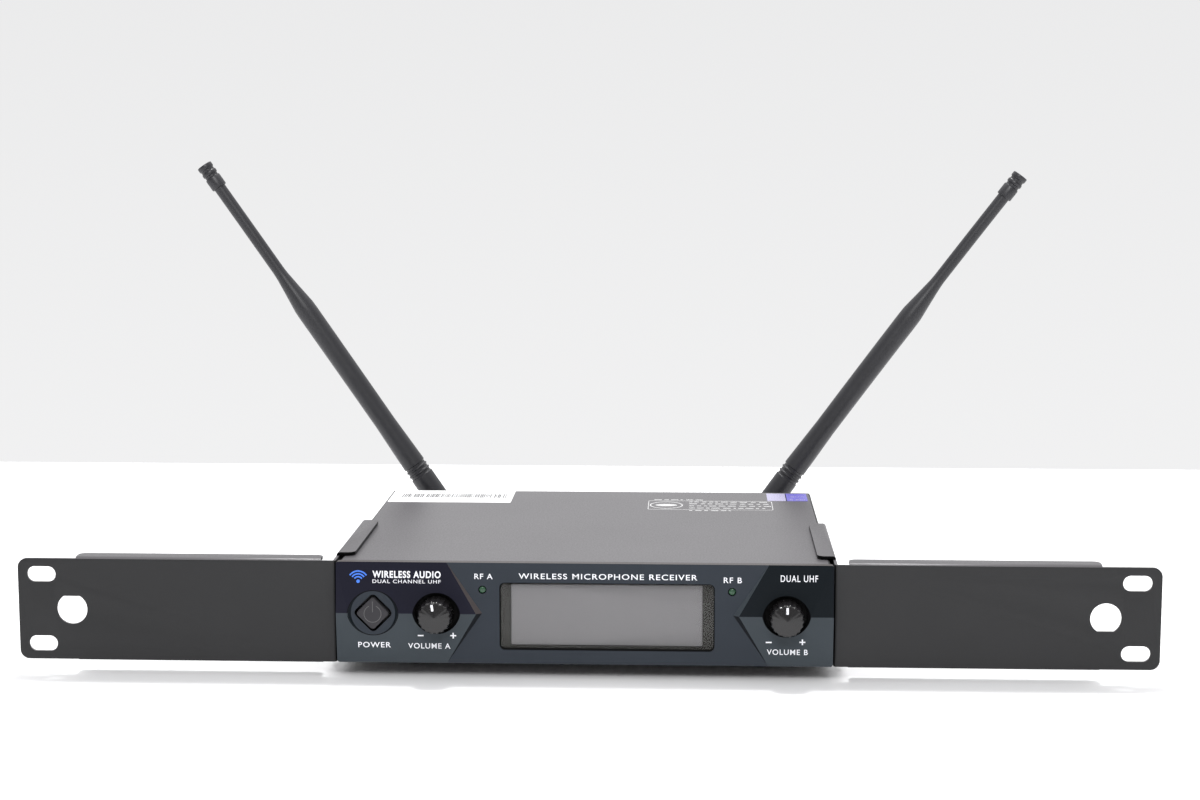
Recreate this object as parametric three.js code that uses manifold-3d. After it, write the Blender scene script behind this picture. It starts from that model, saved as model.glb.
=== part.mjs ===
// Dual-channel wireless microphone receiver: a half-rack steel case with a moulded front panel,
// two rack ears that widen it to a 19 inch panel, and two folding antennas on the back.
// Millimetres. X points right, Y points back and Z points up. The feet stand on Z = 0 and the
// origin is the middle of the bounding box's base.
import * as THREE from 'three';
import { mergeVertices } from 'three/addons/utils/BufferGeometryUtils.js';
import Module from 'manifold-3d';

const wasm = await Module();
wasm.setup();

// ---------------------------------------------------------------- driving dimensions
const FRONT_Y = -96.075;          // front panel plane; everything below is measured back from it
const GAP = 0.3;                  // clearance between pieces that touch

const FOOT = { height: 6.65, radius: 6.75, x: 75, y: [30, 142] };
const CASE = { width: 207.8, height: 43.45, depth: 172.4, sheet: 1.0, bend: 1.4 };
const BASE_Z = FOOT.height;
const TOP_Z = BASE_Z + CASE.height;
const MID_Z = BASE_Z + CASE.height / 2;

const PANEL = { width: 209.8, thickness: 3.2, corner: 1.1, ridge: 2.2 };
const CHEVRON = { centreX: 9.9, base: 67.9, ridge: 55.35, point: 53.0 };
const WINDOW = { x: 9.7, z: BASE_Z + 20.5, width: 90.8, height: 29.0, corner: 2.3 };
const SCREEN = { x: 9.5, width: 81.2, height: 26.6 };
const LED = { x: [-42.85, 62.35], z: BASE_Z + 31.85, radius: 1.45, hole: 1.75 };
const POWER = { x: -89.2, dish: 9.4, hole: 12.3, cap: 10.8, proud: 1.5 };
const KNOB = { x: [-62.3, 85.2], rim: 10.15, well: 8.9, radius: 7.2, base: 7.5, flutes: 18, front: 10.4 };
const SHAFT_RADIUS = 2.9;

const EAR = {
  edge: 241.3, height: 43.7, sheet: 1.2, bend: 1.5, inner: 105.25, face: 0.8,
  corner: 4.0, foldFrom: 111.5, foldTo: 216.5, foldDepth: 9.5, foldProud: 0.75, foldBend: 2.5,
  sideTo: 87.0, tabFrom: 11.5, tabTo: 85.0, tabInner: 98.6, tabLift: 0.45,
};
const RACK = { slotX: 231.2, slotLength: 12.3, slotWidth: 6.7, pitch: 30.1 };
const BNC_HOLE = { x: 218.4, radius: 6.55, flat: 5.6 };
const SCREW = { hole: 1.8, shank: 1.5, head: 2.9, earY: [28, 68], coverY: 150 };

const TRAY = { half: 102.2, front: 5.2, top: 48.6, wall: 1.0, wingTop: 36 };
const BOARD = { z: 14, thickness: 1.6, half: 92, y: [25, 150] };
const DISPLAY_BOARD_Y = [8.95, 10.5];

const REAR = {
  antennaX: 75.6, antennaHole: 5.1, xlrX: 28, xlrHole: 12.2,
  jackX: 0, jackHole: 4.9, powerX: 52, powerHole: 5.1,
};
const WALL_OUT = CASE.depth + GAP;                // where a connector's flange starts, outside the back wall
const WALL_IN = CASE.depth - TRAY.wall - GAP;     // where a connector's housing ends, inside it
const XLR = { depth: 17, plate: 2, radius: 11.8, cavity: 9.6, pin: 1.2 };
const MIX_JACK = { bore: 3.3, neck: 4.6, nut: 12.5 };
const DC_INLET = { socket: 3.1, pin: 1.0, flange: 6.2, depth: 9 };

const PIVOT_Y = 197.4;            // antenna hinge, behind the back wall
const LEAN = [-34.5, 36.5];       // degrees from vertical, towards -X and +X
const JACK = { length: 10.9, barrel: 4.8, bore: 4.1, hex: 13, nut: 14 };
const HINGE = { cheek: 5.4, tongue: 4.8, slot: 3.5, outer: 5.6, pin: 1.5 };
const WHIP = {
  start: 9.7, socket: 16.4, baseTop: 29.8, rings: [31.3, 33.7, 36.1], flareTop: 63.0, thickTop: 133.4,
  thinFrom: 155.4, rodTop: 209.4, base: 5.95, thick: 5.2, thin: 3.0, tipFrom: 208, tip: 221.4,
};

// ---------------------------------------------------------------- materials
function material(color, roughness, metalness) {
  return new THREE.MeshStandardMaterial({ color, roughness, metalness });
}

const looks = {
  paint: () => material(0x3b3b3d, 0.5, 0.4),
  panel: () => material(0x40464c, 0.45, 0.0),
  gloss: () => material(0x151516, 0.25, 0.0),
  cap: () => material(0x4c4b4d, 0.5, 0.0),
  window: () => material(0x4a4a4c, 0.15, 0.0),
  screen: () => material(0x8a888b, 0.35, 0.0),
  led: () => material(0x466150, 0.3, 0.0),
  rubber: () => material(0x222224, 0.75, 0.0),
  nickel: () => material(0xb4b4b0, 0.3, 1.0),
  steel: () => material(0x8d8f92, 0.4, 1.0),
  board: () => material(0x1d5234, 0.55, 0.0),
  moulding: () => material(0x1c1c1e, 0.55, 0.0),
};

// ---------------------------------------------------------------- solids
function solid(geometry) {
  const bare = geometry.clone();
  bare.deleteAttribute('normal');
  bare.deleteAttribute('uv');
  const merged = mergeVertices(bare, 1e-4);
  const index = merged.index.array;
  const triangles = [];
  for (let i = 0; i < index.length; i += 3) {
    const [a, b, c] = [index[i], index[i + 1], index[i + 2]];
    if (a !== b && b !== c && a !== c) triangles.push(a, b, c);
  }
  return new wasm.Manifold(new wasm.Mesh({
    numProp: 3,
    vertProperties: Float32Array.from(merged.attributes.position.array),
    triVerts: Uint32Array.from(triangles),
  }));
}

function toGeometry(manifold) {
  const mesh = manifold.getMesh();
  const geometry = new THREE.BufferGeometry();
  geometry.setAttribute('position', new THREE.BufferAttribute(new Float32Array(mesh.vertProperties), 3));
  geometry.setIndex(new THREE.BufferAttribute(new Uint32Array(mesh.triVerts), 1));
  geometry.computeVertexNormals();
  return geometry;
}

function union(parts) {
  return parts.reduce((whole, part) => whole.add(part));
}

function cut(body, tools) {
  return tools.reduce((rest, tool) => rest.subtract(tool), body);
}

function block(x, y, z) {
  const geometry = new THREE.BoxGeometry(x[1] - x[0], y[1] - y[0], z[1] - z[0]);
  geometry.translate((x[0] + x[1]) / 2, (y[0] + y[1]) / 2, (z[0] + z[1]) / 2);
  return solid(geometry);
}

// The outline's two coordinates lie along the two other axes: (y, z), (x, z) or (x, y).
const OUTLINE_PLANES = {
  x: [new THREE.Vector3(0, 1, 0), new THREE.Vector3(0, 0, 1), new THREE.Vector3(1, 0, 0)],
  y: [new THREE.Vector3(1, 0, 0), new THREE.Vector3(0, 0, 1), new THREE.Vector3(0, -1, 0)],
  z: [new THREE.Vector3(1, 0, 0), new THREE.Vector3(0, 1, 0), new THREE.Vector3(0, 0, 1)],
};

function prism(outline, axis, from, to, curveSegments = 3) {
  const options = { depth: to - from, bevelEnabled: false, curveSegments };
  const geometry = new THREE.ExtrudeGeometry(outline, options);
  geometry.applyMatrix4(new THREE.Matrix4().makeBasis(...OUTLINE_PLANES[axis]));
  const start = axis === 'y' ? to : from;
  geometry.translate(axis === 'x' ? start : 0, axis === 'y' ? start : 0, axis === 'z' ? start : 0);
  return solid(geometry);
}

// profile: [radius, distance along the axis] pairs, from one end to the other
function turned(profile, axis, segments = 16) {
  const points = profile.map(([radius, along]) => new THREE.Vector2(radius, along));
  const geometry = new THREE.LatheGeometry(points, segments);
  if (axis === 'z') geometry.rotateX(Math.PI / 2);
  if (axis === 'x') geometry.rotateZ(-Math.PI / 2);
  return solid(geometry);
}

function rod(radius, axis, from, to, segments = 16) {
  return turned([[0, from], [radius, from], [radius, to], [0, to]], axis, segments);
}

function roundedRectangle(x, z, width, height, radius) {
  const outline = new THREE.Shape();
  const [right, top] = [x + width / 2 - radius, z + height / 2 - radius];
  const [left, bottom] = [x - width / 2 + radius, z - height / 2 + radius];
  outline.absarc(right, top, radius, 0, Math.PI / 2);
  outline.absarc(left, top, radius, Math.PI / 2, Math.PI);
  outline.absarc(left, bottom, radius, Math.PI, 1.5 * Math.PI);
  outline.absarc(right, bottom, radius, 1.5 * Math.PI, 2 * Math.PI);
  outline.closePath();
  return outline;
}

function polygon(points) {
  return new THREE.Shape(points.map(([u, v]) => new THREE.Vector2(u, v)));
}

function hexagon(acrossFlats) {
  const corner = acrossFlats / Math.sqrt(3);
  return polygon([0, 1, 2, 3, 4, 5].map((i) => [
    corner * Math.cos(i * Math.PI / 3), corner * Math.sin(i * Math.PI / 3),
  ]));
}

// ---------------------------------------------------------------- case
function topCover() {
  const half = CASE.width / 2;
  const outline = new THREE.Shape();
  outline.moveTo(-half, BASE_Z);
  outline.lineTo(-half + CASE.sheet, BASE_Z);
  outline.lineTo(-half + CASE.sheet, TOP_Z - CASE.bend);
  outline.absarc(-half + CASE.bend, TOP_Z - CASE.bend, CASE.bend - CASE.sheet, Math.PI, Math.PI / 2, true);
  outline.absarc(half - CASE.bend, TOP_Z - CASE.bend, CASE.bend - CASE.sheet, Math.PI / 2, 0, true);
  outline.lineTo(half - CASE.sheet, BASE_Z);
  outline.lineTo(half, BASE_Z);
  outline.absarc(half - CASE.bend, TOP_Z - CASE.bend, CASE.bend, 0, Math.PI / 2);
  outline.absarc(-half + CASE.bend, TOP_Z - CASE.bend, CASE.bend, Math.PI / 2, Math.PI);
  const shell = prism(outline, 'y', PANEL.thickness + GAP, CASE.depth);
  return cut(shell, sideScrewHoles());
}

function sideScrewHoles() {
  return [...SCREW.earY, SCREW.coverY].map((y) => rod(SCREW.hole, 'x', -115, 115, 8).translate(0, y, MID_Z));
}

function backHole(radius, x) {
  return rod(radius, 'y', CASE.depth - 12, CASE.depth + 8).translate(x, 0, MID_Z);
}

// Bottom plate with the front and back walls bent up from it, low side wings and board posts.
function chassisTray() {
  const floorTop = BASE_Z + TRAY.wall;
  const back = CASE.depth - TRAY.wall;
  const parts = [
    block([-TRAY.half, TRAY.half], [TRAY.front, CASE.depth], [BASE_Z, floorTop]),
    block([-TRAY.half, TRAY.half], [TRAY.front, TRAY.front + TRAY.wall], [BASE_Z, TRAY.top]),
    block([-TRAY.half, TRAY.half], [back, CASE.depth], [BASE_Z, TRAY.top]),
  ];
  for (const side of [-1, 1]) {
    const wing = [side * TRAY.half, side * (TRAY.half - TRAY.wall)].sort((a, b) => a - b);
    parts.push(block(wing, [TRAY.front, 80], [BASE_Z, TRAY.wingTop]));
    parts.push(block(wing, [136, CASE.depth], [BASE_Z, TRAY.wingTop]));
    for (const y of [34, 140]) {
      parts.push(rod(3, 'z', floorTop - 0.2, BOARD.z - GAP, 8).translate(side * 84, y, 0));
    }
  }
  return cut(union(parts), [
    ...sideScrewHoles(),
    prism(roundedRectangle(WINDOW.x, WINDOW.z, 92, 34, 1), 'y', 4, 8, 2),
    rod(9, 'y', 4, 8).translate(POWER.x, 0, MID_Z),
    ...KNOB.x.map((x) => rod(4.6, 'y', 4, 8).translate(x, 0, MID_Z)),
    ...LED.x.map((x) => rod(2.6, 'y', 4, 8, 12).translate(x, 0, LED.z)),
    ...[-1, 1].map((side) => backHole(REAR.antennaHole, side * REAR.antennaX)),
    ...[-1, 1].map((side) => backHole(REAR.xlrHole, side * REAR.xlrX)),
    backHole(REAR.jackHole, REAR.jackX),
    backHole(REAR.powerHole, REAR.powerX),
  ]);
}

function foot() {
  const r = FOOT.radius;
  const top = FOOT.height - GAP;
  return turned([[0, 1.6], [2.6, 1.6], [2.6, 0], [r - 1.2, 0], [r - 0.7, 0.5], [r, top], [0, top]], 'z');
}

// ---------------------------------------------------------------- front panel
// Each end region is a shallow roof with a level ridge; its inner end slopes down to a chevron point.
function roof(side) {
  const inward = (distance) => CHEVRON.centreX + side * distance;
  const outer = side * PANEL.width / 2;
  const corners = [
    [outer, TOP_Z], [inward(CHEVRON.base), TOP_Z], [inward(CHEVRON.point), MID_Z],
    [inward(CHEVRON.base), BASE_Z], [outer, BASE_Z],
  ];
  const front = corners.map(([x, z]) => [x, 0, z]);
  const back = corners.map(([x, z]) => [x, 1, z]);
  const ridge = [[outer, -PANEL.ridge, MID_Z], [inward(CHEVRON.ridge), -PANEL.ridge, MID_Z]];
  const vertices = [...front, ...back, ...ridge];
  const faces = [
    [0, 10, 11, 1], [1, 11, 2], [2, 11, 3], [3, 11, 10, 4], [0, 4, 10],
    [5, 6, 7, 8, 9],
    [0, 1, 6, 5], [1, 2, 7, 6], [2, 3, 8, 7], [3, 4, 9, 8], [4, 0, 5, 9],
  ];
  const triangles = [];
  for (const face of faces) {
    for (let i = 1; i + 1 < face.length; i += 1) {
      triangles.push(face[0], ...(side > 0 ? [face[i + 1], face[i]] : [face[i], face[i + 1]]));
    }
  }
  const geometry = new THREE.BufferGeometry();
  geometry.setAttribute('position', new THREE.Float32BufferAttribute(vertices.flat(), 3));
  geometry.setIndex(triangles);
  return solid(geometry);
}

// How far the roof's face stands forward at a given height from the ridge.
function roofProud(offset) {
  return PANEL.ridge * (1 - offset / (CASE.height / 2));
}

function powerDish() {
  const floor = -roofProud(POWER.dish);
  const widen = 1.4;
  const mouth = floor - 2;
  return turned([[0, mouth], [POWER.dish + 2 * widen, mouth], [POWER.dish, floor], [0, floor]], 'y', 28)
    .translate(POWER.x, 0, MID_Z);
}

function knobWell(x) {
  const edge = -roofProud(KNOB.well);
  const slope = (KNOB.rim - KNOB.well) / (edge + PANEL.ridge);
  const mouth = edge - 2;
  const profile = [
    [0, mouth], [KNOB.well + 2 * slope, mouth], [KNOB.well, edge], [KNOB.well, 2.2],
    [4.6, 2.2], [4.6, 5], [0, 5],
  ];
  return turned(profile, 'y', 28).translate(x, 0, MID_Z);
}

function diamond(side, corner) {
  const square = roundedRectangle(0, 0, side, side, corner);
  return (from, to) => prism(square, 'y', from, to, 4).rotate([0, 45, 0]).translate(POWER.x, 0, MID_Z);
}

function frontPanel() {
  const outline = roundedRectangle(0, MID_Z, PANEL.width, CASE.height, PANEL.corner);
  const blank = prism(outline, 'y', -PANEL.ridge - 1, PANEL.thickness, 3);
  const relief = union([
    block([-PANEL.width / 2, PANEL.width / 2], [0, PANEL.thickness], [BASE_Z, TOP_Z]),
    roof(-1), roof(1),
  ]);
  return cut(blank.intersect(relief), [
    prism(roundedRectangle(WINDOW.x, WINDOW.z, WINDOW.width, WINDOW.height, WINDOW.corner), 'y', -3, 5),
    ...LED.x.map((x) => rod(LED.hole, 'y', -3, 5, 12).translate(x, 0, LED.z)),
    ...KNOB.x.map(knobWell),
    powerDish(),
    diamond(POWER.hole, 2.0)(-4, 5),
  ]);
}

// ---------------------------------------------------------------- display
function displayWindow() {
  const inset = 2 * GAP;
  const outline = roundedRectangle(
    WINDOW.x, WINDOW.z, WINDOW.width - inset, WINDOW.height - inset, WINDOW.corner - GAP,
  );
  return prism(outline, 'y', 0.7, 2.2);
}

function displayBezel() {
  const outline = roundedRectangle(WINDOW.x, WINDOW.z, 91.4, 31.4, 1.5);
  const opening = roundedRectangle(SCREEN.x, WINDOW.z, SCREEN.width, SCREEN.height, 0.4);
  return cut(prism(outline, 'y', 3.55, 4.75, 2), [prism(opening, 'y', 3, 6, 2)]);
}

function lcdModule() {
  const x = [SCREEN.x - 44, SCREEN.x + 44];
  const inset = GAP;
  const active = [SCREEN.x - SCREEN.width / 2 + inset, SCREEN.x + SCREEN.width / 2 - inset];
  const height = SCREEN.height / 2 - inset;
  return union([
    block(x, [5.05, 8.6], [WINDOW.z - 15, WINDOW.z + 15]),
    block(active, [3.75, 5.2], [WINDOW.z - height, WINDOW.z + height]),
  ]);
}

function led() {
  const r = LED.radius;
  return turned([[0, -0.35], [0.8, -0.28], [1.3, 0], [r, 0.4], [r, 4.2], [r + 0.5, 4.2], [r + 0.5, 5.2],
    [0.9, 5.2], [0.9, 8.5], [0, 8.5]], 'y', 12);
}

// ---------------------------------------------------------------- controls
function powerButton() {
  const face = -roofProud(POWER.dish) - POWER.proud;
  return union([
    diamond(POWER.cap, 1.3)(face, 3.0),
    rod(2.5, 'y', 2.8, 11, 16).translate(POWER.x, 0, MID_Z),
  ]);
}

function powerSwitch() {
  const body = block([-6.5, 6.5], [7.5, 22], [-6.5, 6.5]);
  return cut(body, [rod(2.9, 'y', 7, 14, 16)]).translate(POWER.x, 0, MID_Z);
}

function knob() {
  const outline = new THREE.Shape();
  const steps = KNOB.flutes * 4;
  for (let i = 0; i < steps; i += 1) {
    const angle = (i / steps) * 2 * Math.PI;
    const radius = KNOB.base - 0.28 + 0.28 * Math.cos(angle * KNOB.flutes);
    const point = [radius * Math.cos(angle), radius * Math.sin(angle)];
    if (i === 0) outline.moveTo(...point);
    else outline.lineTo(...point);
  }
  outline.closePath();
  const envelope = turned([
    [0, -KNOB.front - 0.8], [KNOB.radius - 0.5, -KNOB.front], [KNOB.radius, -KNOB.front + 0.5],
    [KNOB.base, 1.5], [0, 1.5],
  ], 'y');
  const fluted = prism(outline, 'y', -KNOB.front - 1, 1.5, 1);
  return cut(fluted.intersect(envelope), [rod(SHAFT_RADIUS + GAP, 'y', -6.5, 2, 16)]);
}

function volumePot() {
  const housing = union([
    rod(8.2, 'y', 6.6, 15),
    rod(4.2, 'y', 2.6, 7, 20),
    block([-6, 6], [9, 12], [-13, -6]),
  ]);
  return cut(housing, [rod(SHAFT_RADIUS + GAP, 'y', 2, 13.5, 20)]);
}

function volumeShaft() {
  return rod(SHAFT_RADIUS, 'y', -6.1, 13.1, 20);
}

// ---------------------------------------------------------------- boards
function mainBoard() {
  return block([-BOARD.half, BOARD.half], BOARD.y, [BOARD.z, BOARD.z + BOARD.thickness]);
}

function displayBoard() {
  const board = block([WINDOW.x - 47, WINDOW.x + 47], DISPLAY_BOARD_Y, [WINDOW.z - 16, WINDOW.z + 16]);
  const reach = [LED.x[0] - 3, LED.x[1] + 3];
  return board.add(block(reach, DISPLAY_BOARD_Y, [WINDOW.z + 8, WINDOW.z + 15]));
}

function rfShield(side) {
  const top = BOARD.z + BOARD.thickness;
  const x = [side * 40 - 22, side * 40 + 22];
  const can = block(x, [70, 120], [top + GAP, top + 10]);
  const inside = block([x[0] + 1, x[1] - 1], [71, 119], [top, top + 9]);
  return can.subtract(inside);
}

function heatSink() {
  const top = BOARD.z + BOARD.thickness + GAP;
  const parts = [block([-1, 1], [-11, 11], [top, top + 22])];
  for (const y of [-10, -5, 0, 5, 10]) {
    parts.push(block([0, 9], [y - 0.8, y + 0.8], [top, top + 22]));
  }
  return union(parts).translate(66, 45, 0);
}

function voltageRegulator() {
  const top = BOARD.z + BOARD.thickness + GAP;
  return union([
    block([-5, -1.3], [-5, 5], [top + 4, top + 19]),
    block([-4, -3], [-3, 3], [top, top + 4.5]),
  ]).translate(66, 45, 0);
}

function filterCapacitor() {
  const top = BOARD.z + BOARD.thickness + GAP;
  return turned([[0, top], [6.2, top], [6.2, top + 19.5], [5.7, top + 20], [0, top + 20]], 'z', 20);
}

// ---------------------------------------------------------------- back-panel connectors
// Female bulkhead jack with two bayonet lugs, made in the antenna's frame: the hinge is at y = 0.
function antennaJack() {
  const wall = WALL_OUT - PIVOT_Y;
  const end = wall + JACK.length;
  const floor = end - 7.6;
  const barrel = turned([
    [0, wall - 12], [JACK.barrel, wall - 12], [JACK.barrel, end], [JACK.bore, end], [JACK.bore, floor],
    [1.5, floor], [1.5, end - 2.5], [0, end - 2.5],
  ], 'y');
  const flange = prism(hexagon(JACK.hex), 'y', wall, wall + 2.2, 1);
  const lugs = rod(0.9, 'z', -5.5, 5.5, 10).translate(0, end - 3, 0);
  const lugCore = rod(4.5, 'y', wall - 5, end + 1, 20);
  return union([barrel, flange, lugs.subtract(lugCore)]);
}

function antennaJackNut() {
  const inner = WALL_IN - PIVOT_Y;
  const bore = rod(JACK.barrel + GAP, 'y', inner - 4, inner + 1, 20);
  return prism(hexagon(JACK.nut), 'y', inner - 2.6, inner, 1).subtract(bore);
}

function xlrOutput() {
  const plate = roundedRectangle(0, 0, 26, 31, 2.5);
  const floor = WALL_OUT - XLR.depth;
  const mouth = WALL_OUT + XLR.plate;
  const shell = rod(XLR.radius, 'y', floor - 2.5, WALL_OUT + 1, 20);
  const body = union([prism(plate, 'y', WALL_OUT, mouth, 4), shell]);
  const cavity = rod(XLR.cavity, 'y', floor, mouth + 1, 20);
  const screwHoles = [-1, 1].map(
    (side) => rod(1.6, 'y', WALL_OUT - 1, mouth + 1, 8).translate(side * 9.5, 0, side * -12),
  );
  const pins = [[-5, 1], [5, 1], [0, -5]].map(
    ([x, z]) => rod(XLR.pin, 'y', floor - 1, mouth - 3, 8).translate(x, 0, z),
  );
  return union([cut(body, [cavity, ...screwHoles]), ...pins]).translate(0, 0, MID_Z);
}

function mixOutputJack() {
  const body = union([
    block([-8, 8], [148, WALL_IN], [-7, 7]),
    rod(MIX_JACK.neck, 'y', 165, WALL_OUT + 5),
  ]);
  return body.subtract(rod(MIX_JACK.bore, 'y', 150, WALL_OUT + 6, 20)).translate(REAR.jackX, 0, MID_Z);
}

function mixJackNut() {
  return prism(hexagon(MIX_JACK.nut), 'y', WALL_OUT, WALL_OUT + 2.4, 1)
    .subtract(rod(MIX_JACK.neck + GAP, 'y', WALL_OUT - 1, WALL_OUT + 3))
    .translate(REAR.jackX, 0, MID_Z);
}

function dcInlet() {
  const body = union([
    rod(4.8, 'y', 160, WALL_OUT + 1),
    rod(DC_INLET.flange, 'y', WALL_OUT, WALL_OUT + 1.8),
    block([-5.5, 5.5], [157, WALL_IN], [-5.5, 5.5]),
  ]);
  const floor = WALL_OUT - DC_INLET.depth;
  const socket = rod(DC_INLET.socket, 'y', floor, WALL_OUT + 3, 20);
  const pin = rod(DC_INLET.pin, 'y', floor - 0.5, WALL_OUT - 0.5, 12);
  return body.subtract(socket).add(pin).translate(REAR.powerX, 0, MID_Z);
}

// ---------------------------------------------------------------- rack ears
// One pressed part serves both sides. This is the right-hand one about its own mid height (z = 0).
function rackEar() {
  const half = EAR.height / 2;
  const back = EAR.face + EAR.sheet;
  const tabTop = CASE.height / 2 + EAR.tabLift + EAR.sheet;
  const flangeOut = EAR.inner + EAR.sheet;

  const plate = prism(roundedRectangle(
    (EAR.edge + EAR.inner) / 2, 0, EAR.edge - EAR.inner, EAR.height, EAR.corner,
  ), 'y', EAR.face, back);
  const side = new THREE.Shape();
  side.moveTo(EAR.inner + 8, EAR.face);
  side.lineTo(EAR.inner + 8, back);
  side.lineTo(EAR.inner + EAR.bend, back);
  side.absarc(EAR.inner + EAR.bend, EAR.face + EAR.bend, EAR.bend - EAR.sheet, -Math.PI / 2, Math.PI, true);
  side.lineTo(flangeOut, EAR.sideTo);
  side.lineTo(EAR.inner, EAR.sideTo);
  side.absarc(EAR.inner + EAR.bend, EAR.face + EAR.bend, EAR.bend, Math.PI, 1.5 * Math.PI);
  const corner = block([EAR.inner - 1, EAR.inner + 7.5], [0, 3], [-half - 1, half + 1]);
  const parts = [plate.subtract(corner), prism(side, 'z', -half, half)];
  for (const up of [-1, 1]) {
    parts.push(earFold(up), earTab(up, tabTop));
  }
  const slots = [-1, 1].map((up) => prism(roundedRectangle(
    RACK.slotX, up * RACK.pitch / 2, RACK.slotLength, RACK.slotWidth, RACK.slotWidth / 2 - 0.01,
  ), 'y', -1, 4));
  const screwHoles = SCREW.earY.map((y) => rod(SCREW.hole, 'x', 100, 110, 8).translate(0, y, 0));
  return cut(union(parts), [...slots, antennaHole(), ...screwHoles]);
}

// Long edge folded back to stiffen the ear, with rounded free corners.
function earFold(up) {
  const outer = EAR.height / 2 + EAR.foldProud;
  const inner = outer - EAR.sheet;
  const back = EAR.face + EAR.sheet;
  const bendCentre = [EAR.face + EAR.foldBend, up * (outer - EAR.foldBend)];
  const turn = (angle) => (up > 0 ? angle : -angle);
  const strip = new THREE.Shape();
  strip.moveTo(EAR.face, up * (outer - 5));
  strip.absarc(...bendCentre, EAR.foldBend, turn(Math.PI), turn(Math.PI / 2), up > 0);
  strip.lineTo(EAR.foldDepth, up * outer);
  strip.lineTo(EAR.foldDepth, up * inner);
  strip.absarc(...bendCentre, EAR.foldBend - EAR.sheet, turn(Math.PI / 2), turn(Math.PI), up < 0);
  strip.lineTo(back, up * (outer - 5));
  const shelf = new THREE.Shape();
  const radius = 3;
  shelf.moveTo(EAR.foldFrom, -2);
  shelf.lineTo(EAR.foldTo, -2);
  shelf.absarc(EAR.foldTo - radius, EAR.foldDepth - radius, radius, 0, Math.PI / 2);
  shelf.absarc(EAR.foldFrom + radius, EAR.foldDepth - radius, radius, Math.PI / 2, Math.PI);
  const outlineFromAbove = prism(shelf, 'z', -30, 30);
  return prism(strip, 'x', EAR.foldFrom, EAR.foldTo).intersect(outlineFromAbove);
}

// Lip that folds over the case's edge, so the ear hooks on above and below.
function earTab(up, tabTop) {
  const flangeOut = EAR.inner + EAR.sheet;
  const centre = [flangeOut - EAR.bend, up * (tabTop - EAR.bend)];
  const turn = (angle) => (up > 0 ? angle : -angle);
  const lip = new THREE.Shape();
  lip.moveTo(flangeOut, up * 15);
  lip.absarc(...centre, EAR.bend, 0, turn(Math.PI / 2), up < 0);
  lip.lineTo(EAR.tabInner, up * tabTop);
  lip.lineTo(EAR.tabInner, up * (tabTop - EAR.sheet));
  lip.absarc(...centre, EAR.bend - EAR.sheet, turn(Math.PI / 2), 0, up > 0);
  lip.lineTo(EAR.inner, up * 15);
  const radius = 3.2;
  const above = new THREE.Shape();
  above.moveTo(EAR.inner + 5, EAR.tabFrom);
  above.lineTo(EAR.inner + 5, EAR.tabTo);
  above.absarc(EAR.tabInner + radius, EAR.tabTo - radius, radius, Math.PI / 2, Math.PI);
  above.absarc(EAR.tabInner + radius, EAR.tabFrom + radius, radius, Math.PI, 1.5 * Math.PI);
  return prism(lip, 'y', EAR.tabFrom, EAR.tabTo).intersect(prism(above, 'z', -40, 40));
}

// Hole for moving an antenna jack to the front, with one flat that stops the jack from turning.
function antennaHole() {
  const limit = Math.acos(BNC_HOLE.flat / BNC_HOLE.radius);
  const outline = new THREE.Shape();
  outline.absarc(0, 0, BNC_HOLE.radius, -Math.PI / 2 + limit, 1.5 * Math.PI - limit);
  outline.closePath();
  return prism(outline, 'y', -1, 4, 12).translate(BNC_HOLE.x, 0, 0);
}

function panScrew(reach) {
  return turned([
    [0, -reach], [SCREW.shank, -reach], [SCREW.shank, 0], [SCREW.head, 0], [SCREW.head, 0.9], [2.3, 1.6],
    [1.3, 1.9], [0, 1.9],
  ], 'x', 8);
}

// ---------------------------------------------------------------- antennas
// Antenna frame: origin at the hinge, +z along the upright whip, -y towards the case.
function couplingSleeve() {
  const front = WALL_OUT - PIVOT_Y + 2.6;
  return turned([
    [5.9, front], [7.1, front], [7.3, front + 0.4], [7.3, -8.6], [6.9, -8.2], [5.0, -8.2], [5.0, -10.5],
    [5.9, -10.5], [5.9, front],
  ], 'y', 20);
}

function antennaPlug() {
  const jackEnd = WALL_OUT - PIVOT_Y + JACK.length;
  const nose = turned([
    [0, jackEnd - 0.5], [2.0, jackEnd - 0.5], [2.0, jackEnd - 6.8], [3.7, jackEnd - 6.8],
    [3.7, jackEnd + 0.4], [4.6, jackEnd + 0.4], [4.6, -6.6], [0, -6.6],
  ], 'y');
  const cheeks = new THREE.Shape();
  cheeks.moveTo(-7.8, -HINGE.cheek);
  cheeks.absarc(0, 0, HINGE.cheek, -Math.PI / 2, Math.PI / 2);
  cheeks.lineTo(-7.8, HINGE.cheek);
  const fork = prism(cheeks, 'x', -HINGE.outer, HINGE.outer, 8)
    .subtract(block([-HINGE.slot, HINGE.slot], [-5.6, 8], [-8, 8]))
    .intersect(rod(7.3, 'y', -9, 9));
  return union([nose, fork]).subtract(rod(HINGE.pin + GAP, 'x', -8, 8, 10));
}

function hingePin() {
  return rod(HINGE.pin, 'x', -HINGE.outer - 0.3, HINGE.outer + 0.3, 16);
}

function antennaKnuckle() {
  const tongue = new THREE.Shape();
  tongue.moveTo(-HINGE.tongue, 9);
  tongue.absarc(0, 0, HINGE.tongue, Math.PI, 2 * Math.PI);
  tongue.lineTo(HINGE.tongue, 9);
  const half = HINGE.slot - GAP;
  return union([
    prism(tongue, 'x', -half, half, 8),
    rod(5.5, 'z', 6.2, 9.4),
    rod(2.6, 'z', 9, 16, 16),
  ]).subtract(rod(HINGE.pin + GAP, 'x', -8, 8, 10));
}

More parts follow.
